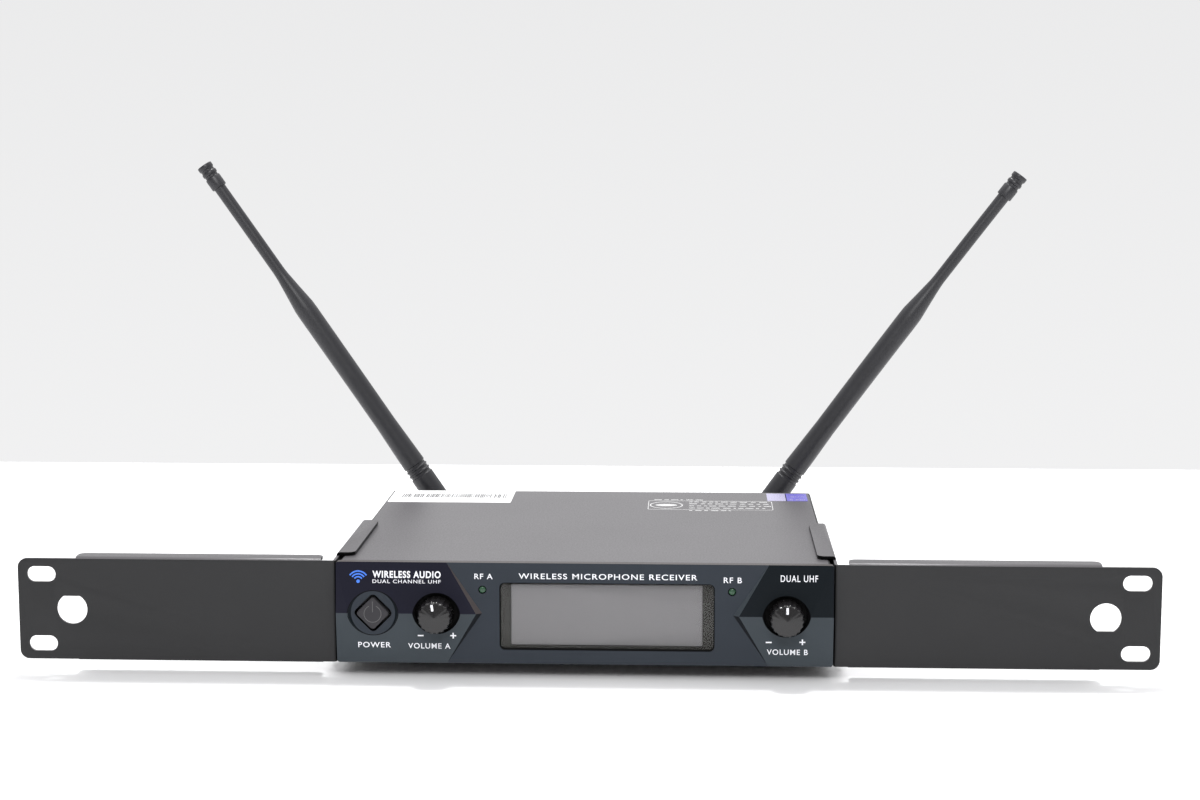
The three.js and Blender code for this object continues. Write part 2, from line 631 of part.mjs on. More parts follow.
function antennaWhip() {
  const { start, socket, baseTop, flareTop, thickTop, thinFrom, rodTop } = WHIP;
  const profile = [
    [0, socket], [2.9, socket], [2.9, start], [WHIP.base - 0.4, start], [WHIP.base, start + 0.4],
    [WHIP.base, baseTop],
  ];
  for (const z of WHIP.rings) {
    const radius = WHIP.base - (z - baseTop) * (WHIP.base - WHIP.thick) / (flareTop - baseTop);
    profile.push([radius, z - 0.9], [radius - 0.45, z - 0.6], [radius - 0.45, z + 0.6], [radius, z + 0.9]);
  }
  profile.push([WHIP.thick, flareTop], [WHIP.thick + 0.1, thickTop], [WHIP.thin, thinFrom]);
  profile.push([WHIP.thin, rodTop], [0, rodTop]);
  return turned(profile, 'z', 12);
}

function antennaTip() {
  const start = WHIP.tipFrom;
  const end = WHIP.tip;
  return turned([
    [0, start + 1.9], [3.35, start + 1.9], [3.35, start], [3.65, start], [3.9, start + 0.4], [3.9, end - 7.4],
    [3.35, end - 7.1], [3.35, end - 5.9], [3.85, end - 5.6], [3.85, end - 4.1], [3.4, end - 3.8],
    [3.4, end - 2.6], [3.9, end - 2.3], [3.9, end - 0.4], [3.6, end], [0, end],
  ], 'z', 12);
}

// ---------------------------------------------------------------- assembly
const receiver = new THREE.Group();
const body = new THREE.Group();
body.position.y = FRONT_Y;
receiver.add(body);

function place(parent, name, shape, look, position = [0, 0, 0]) {
  const mesh = new THREE.Mesh(toGeometry(shape), looks[look]());
  mesh.name = name;
  mesh.position.set(...position);
  parent.add(mesh);
  return mesh;
}

place(body, 'top_cover', topCover(), 'paint');
place(body, 'chassis_tray', chassisTray(), 'paint');
place(body, 'front_panel', frontPanel(), 'panel');
place(body, 'display_window', displayWindow(), 'window');
place(body, 'display_bezel', displayBezel(), 'moulding');
place(body, 'lcd_module', lcdModule(), 'screen');
place(body, 'display_board', displayBoard(), 'board');
place(body, 'main_board', mainBoard(), 'board');
place(body, 'heat_sink', heatSink(), 'steel');
place(body, 'voltage_regulator', voltageRegulator(), 'moulding');
place(body, 'power_button', powerButton(), 'cap');
place(body, 'power_switch', powerSwitch(), 'moulding');
place(body, 'mix_output_jack', mixOutputJack(), 'moulding');
place(body, 'mix_jack_nut', mixJackNut(), 'nickel');
place(body, 'dc_inlet', dcInlet(), 'moulding');

['a', 'b'].forEach((channel, i) => {
  const side = i === 0 ? -1 : 1;
  place(body, `volume_knob_${channel}`, knob(), 'gloss', [KNOB.x[i], 0, MID_Z]);
  place(body, `volume_shaft_${channel}`, volumeShaft(), 'steel', [KNOB.x[i], 0, MID_Z]);
  place(body, `volume_pot_${channel}`, volumePot(), 'moulding', [KNOB.x[i], 0, MID_Z]);
  place(body, `rf_led_${channel}`, led(), 'led', [LED.x[i], 0, LED.z]);
  place(body, `rf_shield_${channel}`, rfShield(side), 'steel');
  place(body, `filter_capacitor_${channel}`, filterCapacitor(), 'moulding', [-70 + 18 * i, 45, 0]);
  place(body, `xlr_output_${channel}`, xlrOutput(), 'moulding', [side * REAR.xlrX, 0, 0]);

  const antenna = new THREE.Group();
  antenna.position.set(side * REAR.antennaX, PIVOT_Y, MID_Z);
  body.add(antenna);
  place(antenna, `antenna_jack_${channel}`, antennaJack(), 'nickel');
  place(antenna, `antenna_jack_nut_${channel}`, antennaJackNut(), 'nickel');
  place(antenna, `coupling_sleeve_${channel}`, couplingSleeve(), 'moulding');
  const leaning = new THREE.Group();
  leaning.rotation.y = THREE.MathUtils.degToRad(LEAN[i]);
  antenna.add(leaning);
  place(leaning, `antenna_plug_${channel}`, antennaPlug(), 'moulding');
  place(leaning, `hinge_pin_${channel}`, hingePin(), 'steel');
  place(leaning, `antenna_knuckle_${channel}`, antennaKnuckle(), 'moulding');
  place(leaning, `antenna_whip_${channel}`, antennaWhip(), 'rubber');
  place(leaning, `antenna_tip_${channel}`, antennaTip(), 'rubber');
});

['left', 'right'].forEach((side, i) => {
  const sign = i === 0 ? -1 : 1;
  const turnOver = i === 0 ? Math.PI : 0;
  const ear = place(body, `rack_ear_${side}`, rackEar(), 'paint', [0, 0, MID_Z]);
  ear.rotation.y = turnOver;
  SCREW.earY.forEach((y, n) => {
    const head = EAR.inner + EAR.sheet + GAP;
    const screw = place(body, `ear_screw_${side}_${n + 1}`, panScrew(7.5), 'steel', [sign * head, y, MID_Z]);
    screw.rotation.y = turnOver;
  });
  const coverScrew = place(body, `cover_screw_${side}`, panScrew(5), 'steel',
    [sign * (CASE.width / 2 + GAP), SCREW.coverY, MID_Z]);
  coverScrew.rotation.y = turnOver;
  FOOT.y.forEach((y, n) => {
    place(body, `foot_${n === 0 ? 'front' : 'back'}_${side}`, foot(), 'rubber', [sign * FOOT.x, y, 0]);
  });
});

export default receiver;
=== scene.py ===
"""Looks of a dual-channel wireless microphone receiver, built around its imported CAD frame.

Shapes are drawn in millimetres: x to the right, y back from the front panel's plane, z up from the floor.
The floor, the lights and the camera are placed in metres, in the CAD's own frame.
"""

import math
import random

import bmesh
import bpy
from mathutils import Matrix, Vector


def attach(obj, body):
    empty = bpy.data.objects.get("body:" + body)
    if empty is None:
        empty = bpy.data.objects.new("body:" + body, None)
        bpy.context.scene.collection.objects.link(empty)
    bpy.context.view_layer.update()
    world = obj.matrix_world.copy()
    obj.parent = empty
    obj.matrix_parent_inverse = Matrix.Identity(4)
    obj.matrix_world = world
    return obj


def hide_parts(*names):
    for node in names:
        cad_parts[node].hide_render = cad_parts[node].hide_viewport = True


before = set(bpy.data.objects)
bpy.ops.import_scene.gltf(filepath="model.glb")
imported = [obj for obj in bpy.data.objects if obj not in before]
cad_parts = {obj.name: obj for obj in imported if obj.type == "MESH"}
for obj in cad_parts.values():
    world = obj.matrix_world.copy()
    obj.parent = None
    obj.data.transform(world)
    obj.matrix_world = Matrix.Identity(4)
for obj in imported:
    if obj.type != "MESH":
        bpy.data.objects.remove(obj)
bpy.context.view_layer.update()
scene = bpy.context.scene

# ---- driving dimensions
MM = 0.001
FRONT_Y = -96.075
BASE_Z = 6.65
CASE = {"width": 207.8, "height": 43.45, "depth": 172.4, "sheet": 1.0, "bend": 1.4}
TOP_Z = BASE_Z + CASE["height"]
MID_Z = BASE_Z + CASE["height"] / 2
HALF_HEIGHT = CASE["height"] / 2

PANEL = {"width": 209.8, "thickness": 3.2, "corner": 1.1, "ridge": 2.2}
CHEVRON = {"centre": 9.9, "base": 67.9, "ridge": 55.35, "point": 53.0}
WINDOW = {"x": 9.7, "z": BASE_Z + 20.5, "width": 90.8, "height": 29.0, "corner": 2.3}
SCREEN = {"x": 9.5, "width": 81.2, "height": 26.6}
BEZEL = {"width": 91.4, "height": 31.4, "corner": 1.5, "front": 3.55, "back": 4.75}
GLASS = {"width": 88, "height": 30, "front": 5.05, "back": 8.6, "step_front": 3.75}
LED = {"x": (-42.85, 62.35), "z": BASE_Z + 31.85, "hole": 1.75, "radius": 1.45}
POWER = {"x": -89.2, "dish": 9.4, "rim": 10.8, "flare": 1.4, "hole": 12.3, "cap": 10.2, "proud": 1.5}
KNOB = {"x": (-62.3, 85.2), "rim": 10.15, "well": 8.9, "base": 7.5, "face": 7.2, "front": 10.4, "flutes": 18}
POINTER_TURN = (10.0, 0.0)  # degrees, for knob A and knob B

EAR = {"edge": 241.3, "height": 43.7, "sheet": 1.2, "bend": 1.5, "inner": 105.25, "face": 0.8, "corner": 4.0,
       "fold_from": 111.5, "fold_to": 216.5, "fold_depth": 9.5, "fold_proud": 0.75, "fold_bend": 2.5,
       "side_to": 87.0, "side_laps": 8, "tab_from": 11.5, "tab_to": 85.0, "tab_inner": 98.6, "tab_lift": 0.45}
SLOT = {"x": 231.2, "length": 12.3, "width": 6.7, "pitch": 30.1}
JACK_HOLE = {"x": 218.4, "radius": 6.55, "flat": 5.6}
EAR_SCREWS = (28, 68)
COVER_SCREW = 150
SCREW = {"hole": 1.8, "stand_off": 0.3, "ear_reach": 7.5, "cover_reach": 5}
FOOT = {"x": 75, "front_y": 30, "back_y": 142, "radius": 6.75}
LABEL_TOP = TOP_Z + 0.08
SUNK = 0.1  # how far labels and print reach into what they lie on

ANTENNA_X = 75.6
PIVOT_Y = 197.4
LEAN = (-34.5, 36.5)  # degrees from upright, for antenna A and antenna B
BOW = (0.4, 1.0)  # how far each antenna bends aside at the middle of its length
WHIP = {"length": 221.4, "base": 5.95, "base_top": 29.8, "waist": 5.2, "waist_at": 63.0, "rod_top": 209.4,
        "grooves": (31.3, 33.7, 36.1)}
WALL_OUT = CASE["depth"] + 0.3
XLR = {"x": 28.0, "width": 26, "height": 31, "corner": 2.5, "shell": 11.8, "socket": 9.6, "deep": 17,
       "proud": 2}
POWER_IN_X = 52.0
CHANNELS = (("a", 0, -1), ("b", 1, 1))  # name, place in the pairs above, side

FLOOR = {"half_width": 3, "front": -4, "back": 0.455}
CAMERA = {"place": (0.0451, -1.0, 0.2422), "lens": 65.85, "down": 7.72, "roll": 0.011, "pan": 2.423}


# ---- surfaces
def linear(colour, factor=1.0):
    """The linear colour of an 8-bit screen colour, made lighter or darker by a factor."""
    shares = [value / 255 for value in colour]
    light = [s / 12.92 if s <= 0.04045 else ((s + 0.055) / 1.055) ** 2.4 for s in shares]
    return tuple(min(1.0, part * factor) for part in light) + (1.0,)


def wire(tree, node, inputs):
    """Sets each named input of a shader node to a value, or links it to another node's output."""
    for name, value in inputs.items():
        if isinstance(value, bpy.types.NodeSocket):
            tree.links.new(value, node.inputs[name])
        else:
            node.inputs[name].default_value = value


def noise(tree, place, scale, detail):
    node = tree.nodes.new("ShaderNodeTexNoise")
    wire(tree, node, {"Vector": place, "Scale": scale, "Detail": detail})
    return node.outputs["Fac"]


def ramp(tree, value, low, high, start=0.3, end=0.7):
    """Runs from low to high while the value runs from start to end."""
    node = tree.nodes.new("ShaderNodeMapRange")
    wire(tree, node, {"Value": value, "From Min": start, "From Max": end, "To Min": low, "To Max": high})
    return node.outputs["Result"]


def blend(tree, factor, first, second):
    node = tree.nodes.new("ShaderNodeMix")
    node.data_type = "RGBA"
    wire(tree, node, {"Factor": factor, "A": first, "B": second})
    return node.outputs["Result"]


def calculate(tree, operation, value, number):
    node = tree.nodes.new("ShaderNodeMath")
    node.operation = operation
    node.inputs[1].default_value = number
    tree.links.new(value, node.inputs[0])
    return node.outputs["Value"]


def dusted(tree, place, tint, amount):
    """A few pale dust specks, under half a millimetre across, over the colour."""
    cells = tree.nodes.new("ShaderNodeTexVoronoi")
    wire(tree, cells, {"Vector": place, "Scale": 90})
    speck = calculate(tree, "LESS_THAN", cells.outputs["Distance"], 0.02)
    return blend(tree, calculate(tree, "MULTIPLY", speck, amount), tint, linear((190, 190, 190)))


def surface(name, colour, rough, grain=2200, bump=0.02, mottle=0.06, mottle_size=60, metal=0.0,
            rough_spread=0.06, specular=0.5, specks=0.0):
    """A moulded, painted or plated surface: fine grain in the relief and gloss, soft mottling in the colour.

    bump is in millimetres; grain and mottle_size are noise scales, so larger numbers give finer patterns."""
    material = bpy.data.materials.new(name)
    material.use_nodes = True
    tree = material.node_tree
    place = tree.nodes.new("ShaderNodeTexCoord").outputs["Object"]
    cloud = ramp(tree, noise(tree, place, mottle_size, 3), 0, 1)
    tint = blend(tree, cloud, linear(colour, 1 - mottle), linear(colour, 1 + mottle))
    if specks:
        tint = dusted(tree, place, tint, specks)
    fine = noise(tree, place, grain, 2)
    relief = tree.nodes.new("ShaderNodeBump")
    wire(tree, relief, {"Strength": 1.0, "Distance": bump * MM, "Height": fine})
    wire(tree, tree.nodes["Principled BSDF"], {
        "Base Color": tint,
        "Metallic": metal,
        "Roughness": ramp(tree, fine, rough - rough_spread, rough + rough_spread),
        "Specular IOR Level": specular,
        "Normal": relief.outputs["Normal"],
    })
    return material


# Satin black paint, made lighter than the ear paint so the cover's top carries its sheen: painted sheen.
PAINT_WITH_SHEEN = surface("satin_black_paint_with_painted_sheen", (85, 83, 86), 0.36, grain=1500, bump=0.012, mottle=0.05,
                mottle_size=18)
# The ear paint; as the darker copy on the cover's sides and bends it is painted shade.
EAR_PAINT_AND_SIDE_SHADE = surface("ear_paint_and_painted_side_shade", (49, 49, 50), 0.5, grain=1800, bump=0.02, mottle=0.05, mottle_size=14,
                    specular=0.15)
# A lighter copy of the ear paint for the ear's upward faces: painted light from above.
EAR_TOP_LIT = surface("ear_top_painted_light", (79, 77, 80), 0.38, grain=1500, bump=0.012, mottle=0.05, mottle_size=18)
CENTRE_PRINT = surface("centre_slate_print", (47, 52, 59), 0.42, mottle=0.04, specks=0.3, specular=0.12)
NAVY_PRINT = surface("navy_print", (22, 22, 35), 0.42, mottle=0.04, specular=0.12)
SLATE_PRINT = surface("slate_print", (59, 65, 70), 0.42, mottle=0.04, specular=0.12)
# Black print; on the power dish's sloping wall it stands as painted shade.
BLACK_PRINT_AND_SHADE = surface("black_print_and_painted_shade", (13, 19, 24), 0.42, mottle=0.05, specks=0.35, specular=0.1)
# The chevron's upward-tilted facets lighter and downward-tilted facets darker, as light from above falls on
# them: painted light and painted shade.
LIT_UPPER_FACET = surface("upper_facet_painted_light", (70, 65, 65), 0.36, mottle=0.05, specular=0.2)
SHADED_LOWER_FACET = surface("lower_facet_painted_shade", (27, 29, 33), 0.4, mottle=0.05, specular=0.12)
# Near-black for the walls of wells, holes and gaps and for shaded edges: painted shade.
SHADE_BLACK = surface("painted_shade_black", (7, 7, 8), 0.5, mottle=0.05, specular=0.08)
CAP_PLASTIC = surface("button_plastic", (55, 54, 57), 0.42, grain=3000, specular=0.15)
GLOSS_BLACK = surface("gloss_black_knob", (26, 25, 26), 0.2, grain=900, bump=0.004, rough_spread=0.03)
WHITE_PRINT = surface("white_print", (236, 237, 242), 0.5, grain=4000, bump=0.004, mottle=0.03)
PALE_LINE = surface("pale_line_print", (196, 196, 196), 0.4, grain=4000, bump=0.004, mottle=0.05)
DIM_PRINT = surface("dim_icon_print", (98, 98, 99), 0.45, grain=4000, bump=0.004, mottle=0.05, specular=0.2)
BLUE_PRINT = surface("blue_print", (62, 120, 225), 0.45, grain=4000, bump=0.004, mottle=0.05)
LENS_GREEN = surface("green_led_lens", (40, 74, 52), 0.22, grain=600, bump=0.005, mottle=0.12,
                     mottle_size=900)
BORDER = surface("display_border", (52, 51, 48), 0.5, grain=2600, bump=0.006, mottle=0.04, specular=0.15)
GLASS_GREY = surface("unlit_lcd", (147, 145, 148), 0.42, grain=3000, bump=0.003, mottle=0.02,
                     mottle_size=25)
RUBBER = surface("antenna_rubber", (36, 36, 40), 0.4, grain=1800, bump=0.005, mottle=0.06,
                 mottle_size=120, rough_spread=0.04)
FOOT_RUBBER = surface("foot_rubber", (24, 24, 24), 0.75, grain=1500, bump=0.05)
MOULDING = surface("black_moulding", (28, 28, 30), 0.42, grain=2400, bump=0.02)
NICKEL = surface("nickel_plate", (190, 187, 178), 0.24, grain=1600, bump=0.006, metal=1.0, mottle=0.08,
                 mottle_size=200)
STEEL = surface("bright_steel", (165, 166, 168), 0.34, grain=1200, bump=0.008, metal=1.0, mottle=0.07)
BLACK_STEEL = surface("blackened_steel", (52, 52, 54), 0.34, grain=1600, bump=0.01, metal=0.7, mottle=0.1)
BOARD = surface("green_solder_mask", (24, 92, 52), 0.38, grain=1400, bump=0.015, mottle=0.14,
                mottle_size=220)
LABEL = surface("white_label", (250, 250, 250), 0.34, grain=1800, bump=0.004, mottle=0.01)
LABEL_INK = surface("label_ink", (44, 44, 50), 0.5, grain=3000, bump=0.003, mottle=0.2, mottle_size=500)
LAVENDER = surface("lavender_label", (166, 162, 192), 0.3, grain=1800, bump=0.004, mottle=0.02)
VIOLET = surface("violet_label", (112, 106, 190), 0.3, grain=1800, bump=0.004, mottle=0.06, mottle_size=300)


def clear_pane(name):
    """Thin clear acrylic: light passes straight through, and the surface keeps its gloss."""
    material = surface(name, (60, 60, 58), 0.06, grain=300, bump=0.002, rough_spread=0.02, specular=1.0)
    material.node_tree.nodes["Principled BSDF"].inputs["Alpha"].default_value = 0.16
    return material


PANE = clear_pane("clear_acrylic")


# ---- mesh tools
def placed(points):
    """Points drawn in millimetres, as metres in the CAD's frame."""
    return [Vector((x, FRONT_Y + y, z)) * MM for x, y, z in points]


def link(name, mesh):
    obj = bpy.data.objects.new(name, mesh)
    scene.collection.objects.link(obj)
    return obj


def from_faces(name, points, faces):
    """A mesh object from corner points in metres and faces as lists of corner numbers."""
    work = bmesh.new()
    corners = [work.verts.new(p) for p in points]
    for face in faces:
        work.faces.new([corners[i] for i in face])
    bmesh.ops.recalc_face_normals(work, faces=work.faces)
    mesh = bpy.data.meshes.new(name)
    work.to_mesh(mesh)
    work.free()
    return link(name, mesh)


def spread(outline, axis, along):
    """Places a flat outline across an axis; its coordinates lie along the other axes in x, y, z order."""
    if axis == "x":
        return [(along, u, v) for u, v in outline]
    if axis == "y":
        return [(u, along, v) for u, v in outline]
    return [(u, v, along) for u, v in outline]


def prism(name, outline, axis, low, high):
    """A flat outline given thickness from low to high along an axis."""
    count = len(outline)
    points = placed(spread(outline, axis, low) + spread(outline, axis, high))
    faces = [list(range(count)), list(range(2 * count - 1, count - 1, -1))]
    for i in range(count):
        j = (i + 1) % count
        faces.append([i, j, count + j, count + i])
    return from_faces(name, points, faces)


def block(name, x, y, z):
    return prism(name, [(x[0], y[0]), (x[1], y[0]), (x[1], y[1]), (x[0], y[1])], "z", *z)


def arc(centre, radius, start, end, steps=8):
    """Points along an arc between two angles in degrees."""
    angles = [math.radians(start + (end - start) * i / steps) for i in range(steps + 1)]
    return [(centre[0] + radius * math.cos(a), centre[1] + radius * math.sin(a)) for a in angles]


def rounded(x, z, width, height, radius, steps=8):
    """A rectangle with round corners about a centre."""
    right, top = x + width / 2 - radius, z + height / 2 - radius
    left, bottom = x - width / 2 + radius, z - height / 2 + radius
    return (arc((right, top), radius, 0, 90, steps) + arc((left, top), radius, 90, 180, steps)
            + arc((left, bottom), radius, 180, 270, steps) + arc((right, bottom), radius, 270, 360, steps))


def rotated(outline, degrees):
    c, s = math.cos(math.radians(degrees)), math.sin(math.radians(degrees))
    return [(u * c - v * s, u * s + v * c) for u, v in outline]


def moved(outline, du, dv):
    return [(u + du, v + dv) for u, v in outline]


def turned(name, profile, axis, origin, segments=64, matrix=None, shape=None, bow=None):
    """Turns [radius, distance along the axis] pairs round an axis through origin.

    matrix tilts the piece about its origin, shape(angle, radius, along) may vary the radius round it, and
    bow(along) may push the axis sideways."""
    points, rows = [], []
    for radius, along in profile:
        aside = bow(along) if bow else 0
        if radius <= 0:
            rows.append([len(points)])
            points.append(Vector((aside, 0, along)))
            continue
        rows.append(list(range(len(points), len(points) + segments)))
        for i in range(segments):
            angle = 2 * math.pi * i / segments
            here = shape(angle, radius, along) if shape else radius
            points.append(Vector((here * math.cos(angle) + aside, here * math.sin(angle), along)))
    faces = []
    for low, high in zip(rows, rows[1:]):
        for i in range(segments):
            j = (i + 1) % segments
            face = [low[i % len(low)], low[j % len(low)], high[j % len(high)], high[i % len(high)]]
            face = list(dict.fromkeys(face))
            if len(face) > 2:
                faces.append(face)
    if len(rows[0]) > 1 and profile[0] != profile[-1]:
        faces.append(list(reversed(rows[0])))
    if len(rows[-1]) > 1 and profile[0] != profile[-1]:
        faces.append(rows[-1])
    turn = {"z": Matrix.Identity(4), "y": Matrix.Rotation(math.radians(-90), 4, "X"),
            "x": Matrix.Rotation(math.radians(90), 4, "Y")}[axis]
    tilt = (matrix or Matrix.Identity(4)) @ turn
    base = Vector(origin) + Vector((0, FRONT_Y, 0))
    obj = from_faces(name, [(base + tilt @ p) * MM for p in points], faces)
    if profile[0] == profile[-1]:
        weld(obj)
    return obj


def rod(name, radius, low, high, axis, origin, segments):
    """A plain cylinder from low to high along the axis."""
    return turned(name, [[0, low], [radius, low], [radius, high], [0, high]], axis, origin, segments)


def weld(obj):
    """Joins corners that lie on each other."""
    work = bmesh.new()
    work.from_mesh(obj.data)
    bmesh.ops.remove_doubles(work, verts=work.verts, dist=1e-7)
    bmesh.ops.recalc_face_normals(work, faces=work.faces)
    work.to_mesh(obj.data)
    work.free()


def bake_modifiers(obj):
    """Makes the result of a piece's modifiers its own mesh."""
    depsgraph = bpy.context.evaluated_depsgraph_get()
    mesh = bpy.data.meshes.new_from_object(obj.evaluated_get(depsgraph))
    obj.modifiers.clear()
    obj.data = mesh


def combine(obj, tools, operation):
    for tool in tools:
        step = obj.modifiers.new(tool.name, "BOOLEAN")
        step.operation = operation
        step.solver = "EXACT"
        step.object = tool
    bake_modifiers(obj)
    for tool in tools:
        bpy.data.objects.remove(tool)
    return obj


def cut(obj, *tools):
    return combine(obj, tools, "DIFFERENCE")


def join(obj, *tools):
    return combine(obj, tools, "UNION")


def soften(obj, width, segments=2, limit=32):
    """Rounds the edges that are sharper than the limit in degrees."""
    step = obj.modifiers.new("edges", "BEVEL")
    step.width = width * MM
    step.segments = segments
    step.limit_method = "ANGLE"
    step.angle_limit = math.radians(limit)
    step.use_clamp_overlap = True
    bake_modifiers(obj)


def paint(obj, *materials):
    obj.data.materials.clear()
    for material in materials:
        obj.data.materials.append(material)


def finished(obj, body, slot, material, *nodes, limit=32):
    """Smooths, paints and hangs a piece on its body, in place of the CAD nodes named.

    Edges sharper than limit, in degrees, stay sharp. material is None where the faces have theirs already."""
    obj.data.shade_smooth()
    obj.data.set_sharp_from_angle(angle=math.radians(limit))
    if material:
        paint(obj, material)
    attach(obj, body)
    if nodes:
        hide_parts(*nodes)


def drape(obj, split_y, surface_y, lift=0.05):
    """Fits a thin flat piece to a surface y = surface_y(x, z).

    split_y tells its front corners, which stand out by lift, from its back ones, which are sunk in."""
    for vert in obj.data.vertices:
        x, y, z = vert.co.x / MM, vert.co.y / MM - FRONT_Y, vert.co.z / MM
        vert.co.y = (FRONT_Y + surface_y(x, z) + (SUNK if y > split_y else -lift)) * MM


def proud(z):
    """How far the end regions stand forward of the panel's plane at a height."""
    return PANEL["ridge"] * (1 - min(1, abs(z - MID_Z) / HALF_HEIGHT))


# ---- case
def build_cover():
    half, sheet, bend = CASE["width"] / 2, CASE["sheet"], CASE["bend"]
    corner = TOP_Z - bend
    outline = [(-half, BASE_Z), (-half + sheet, BASE_Z), (-half + sheet, corner)]
    outline += arc((-half + bend, corner), bend - sheet, 180, 90)[1:]
    outline += arc((half - bend, corner), bend - sheet, 90, 0)
    outline += [(half - sheet, BASE_Z), (half, BASE_Z)]
    outline += arc((half - bend, corner), bend, 0, 90)
    outline += arc((-half + bend, corner), bend, 90, 180)
    cover = prism("cover_shell", outline, "y", PANEL["thickness"] + 0.3, CASE["depth"])
    screws = (*EAR_SCREWS, COVER_SCREW)
    cut(cover, *[rod("hole", SCREW["hole"], -115, 115, "x", (0, y, MID_Z), 24) for y in screws])
    soften(cover, 0.15, 1)
    paint(cover, PAINT_WITH_SHEEN, EAR_PAINT_AND_SIDE_SHADE)
    # The cover's sides and bends take the darker ear paint and the top the lighter satin paint: painted shade
    # and painted sheen.
    for face in cover.data.polygons:
        face.material_index = 1 if abs(face.normal.x) > 0.25 else 0
    finished(cover, "case", "dark_paint", None, "top_cover")


def build_foot(name, x, y):
    radius, top = FOOT["radius"], BASE_Z - 0.3
    recess = [[0, 1.6], [2.2, 1.6], [2.6, 1.2], [2.6, 0.2], [2.8, 0]]
    side = [[radius - 1.2, 0], [radius - 0.8, 0.15], [radius - 0.6, 0.6], [radius - 0.1, top - 0.4],
            [radius - 0.3, top], [0, top]]
    foot = turned(name + "_pad", recess + side, "z", (x, y, 0), 48)
    finished(foot, "case", "foot_rubber", FOOT_RUBBER, name)


# ---- front panel
def roof(side):
    """The raised end region: two sloping faces that meet in a level ridge, and a chevron at the inner end."""
    outer = side * PANEL["width"] / 2

    def inward(distance):
        return CHEVRON["centre"] + side * distance

    corners = [(outer, TOP_Z), (inward(CHEVRON["base"]), TOP_Z), (inward(CHEVRON["point"]), MID_Z),
               (inward(CHEVRON["base"]), BASE_Z), (outer, BASE_Z)]
    points = [(x, 0, z) for x, z in corners] + [(x, 1, z) for x, z in corners]
    points += [(outer, -PANEL["ridge"], MID_Z), (inward(CHEVRON["ridge"]), -PANEL["ridge"], MID_Z)]
    faces = [[0, 10, 11, 1], [1, 11, 2], [2, 11, 3], [3, 11, 10, 4], [0, 4, 10], [5, 6, 7, 8, 9],
             [0, 1, 6, 5], [1, 2, 7, 6], [2, 3, 8, 7], [3, 4, 9, 8], [4, 0, 5, 9]]
    return from_faces("roof", placed(points), faces)


CENTRE_ZONE, NAVY_ZONE, SLATE_ZONE, BLACK_PRINT_AND_SHADE_ZONE, LIT_FACET_ZONE, SHADED_FACET_ZONE, SHADE_ZONE = range(7)


def panel_zone(centre, normal):
    """Which field of the front panel a face belongs to, as an index into the panel's materials: a printed
    field, painted light on upward facets, or painted shade on walls and downward facets.
    """
    x, y, z = centre.x / MM, centre.y / MM - FRONT_Y, centre.z / MM
    inward = abs(x - CHEVRON["centre"])
    from_power = math.hypot(x - POWER["x"], z - MID_Z)
    if normal.y > -0.9 or y > 0.5:
        return panel_wall_zone(x, y, z, normal, inward, from_power)
    share = abs(z - MID_Z) / HALF_HEIGHT
    if from_power < POWER["dish"] + 0.3:
        return CENTRE_ZONE
    if inward < CHEVRON["point"] + (CHEVRON["base"] - CHEVRON["point"]) * share:
        return CENTRE_ZONE
    if z < MID_Z:
        return SLATE_ZONE
    return NAVY_ZONE if x < CHEVRON["centre"] else BLACK_PRINT_AND_SHADE_ZONE


def panel_wall_zone(x, y, z, normal, inward, from_power):
    """The zone of a face that does not look straight forward: rims, chevron facets and edges, given painted
    light on the left chevron's upper facets and the top edge, and painted shade on the lower facets and in
    wells, holes, gaps and edges.
    """
    # The power dish's sloping wall is painted black and the rest of its rim near-black: painted shade.
    if from_power < POWER["rim"] + 0.2:
        return BLACK_PRINT_AND_SHADE_ZONE if normal.y < -0.5 else SHADE_ZONE
    # The knob wells' walls are painted near-black: painted shade.
    if min(math.hypot(x - knob, z - MID_Z) for knob in KNOB["x"]) < KNOB["rim"] + 0.1:
        return SHADE_ZONE
    # Chevron facets: the lower ones painted darker as painted shade, the upper left ones lighter as painted
    # light.
    if -0.75 < normal.y < -0.55 and CHEVRON["point"] < inward < CHEVRON["base"] and y < 0:
        if z < MID_Z:
            return SHADED_FACET_ZONE
        return LIT_FACET_ZONE if x < CHEVRON["centre"] else SLATE_ZONE
    # Upward faces along the top edge take the lighter facet colour: painted highlight.
    if normal.z > 0.5 and z > TOP_Z - 1:
        return LIT_FACET_ZONE
    # All other walls and edges are painted near-black: painted shade.
    return SHADE_ZONE


def panel_block():
    """The moulding before it is cut: a slab with the two raised ends, trimmed to rounded corners."""
    panel = block("panel_moulding", (-PANEL["width"] / 2, PANEL["width"] / 2), (0, PANEL["thickness"]),
                  (BASE_Z, TOP_Z))
    join(panel, roof(-1), roof(1))
    outline = rounded(0, MID_Z, PANEL["width"], CASE["height"], PANEL["corner"])
    trim = prism("outline", outline, "y", -PANEL["ridge"] - 1, PANEL["thickness"] + 1)
    return combine(panel, [trim], "INTERSECT")


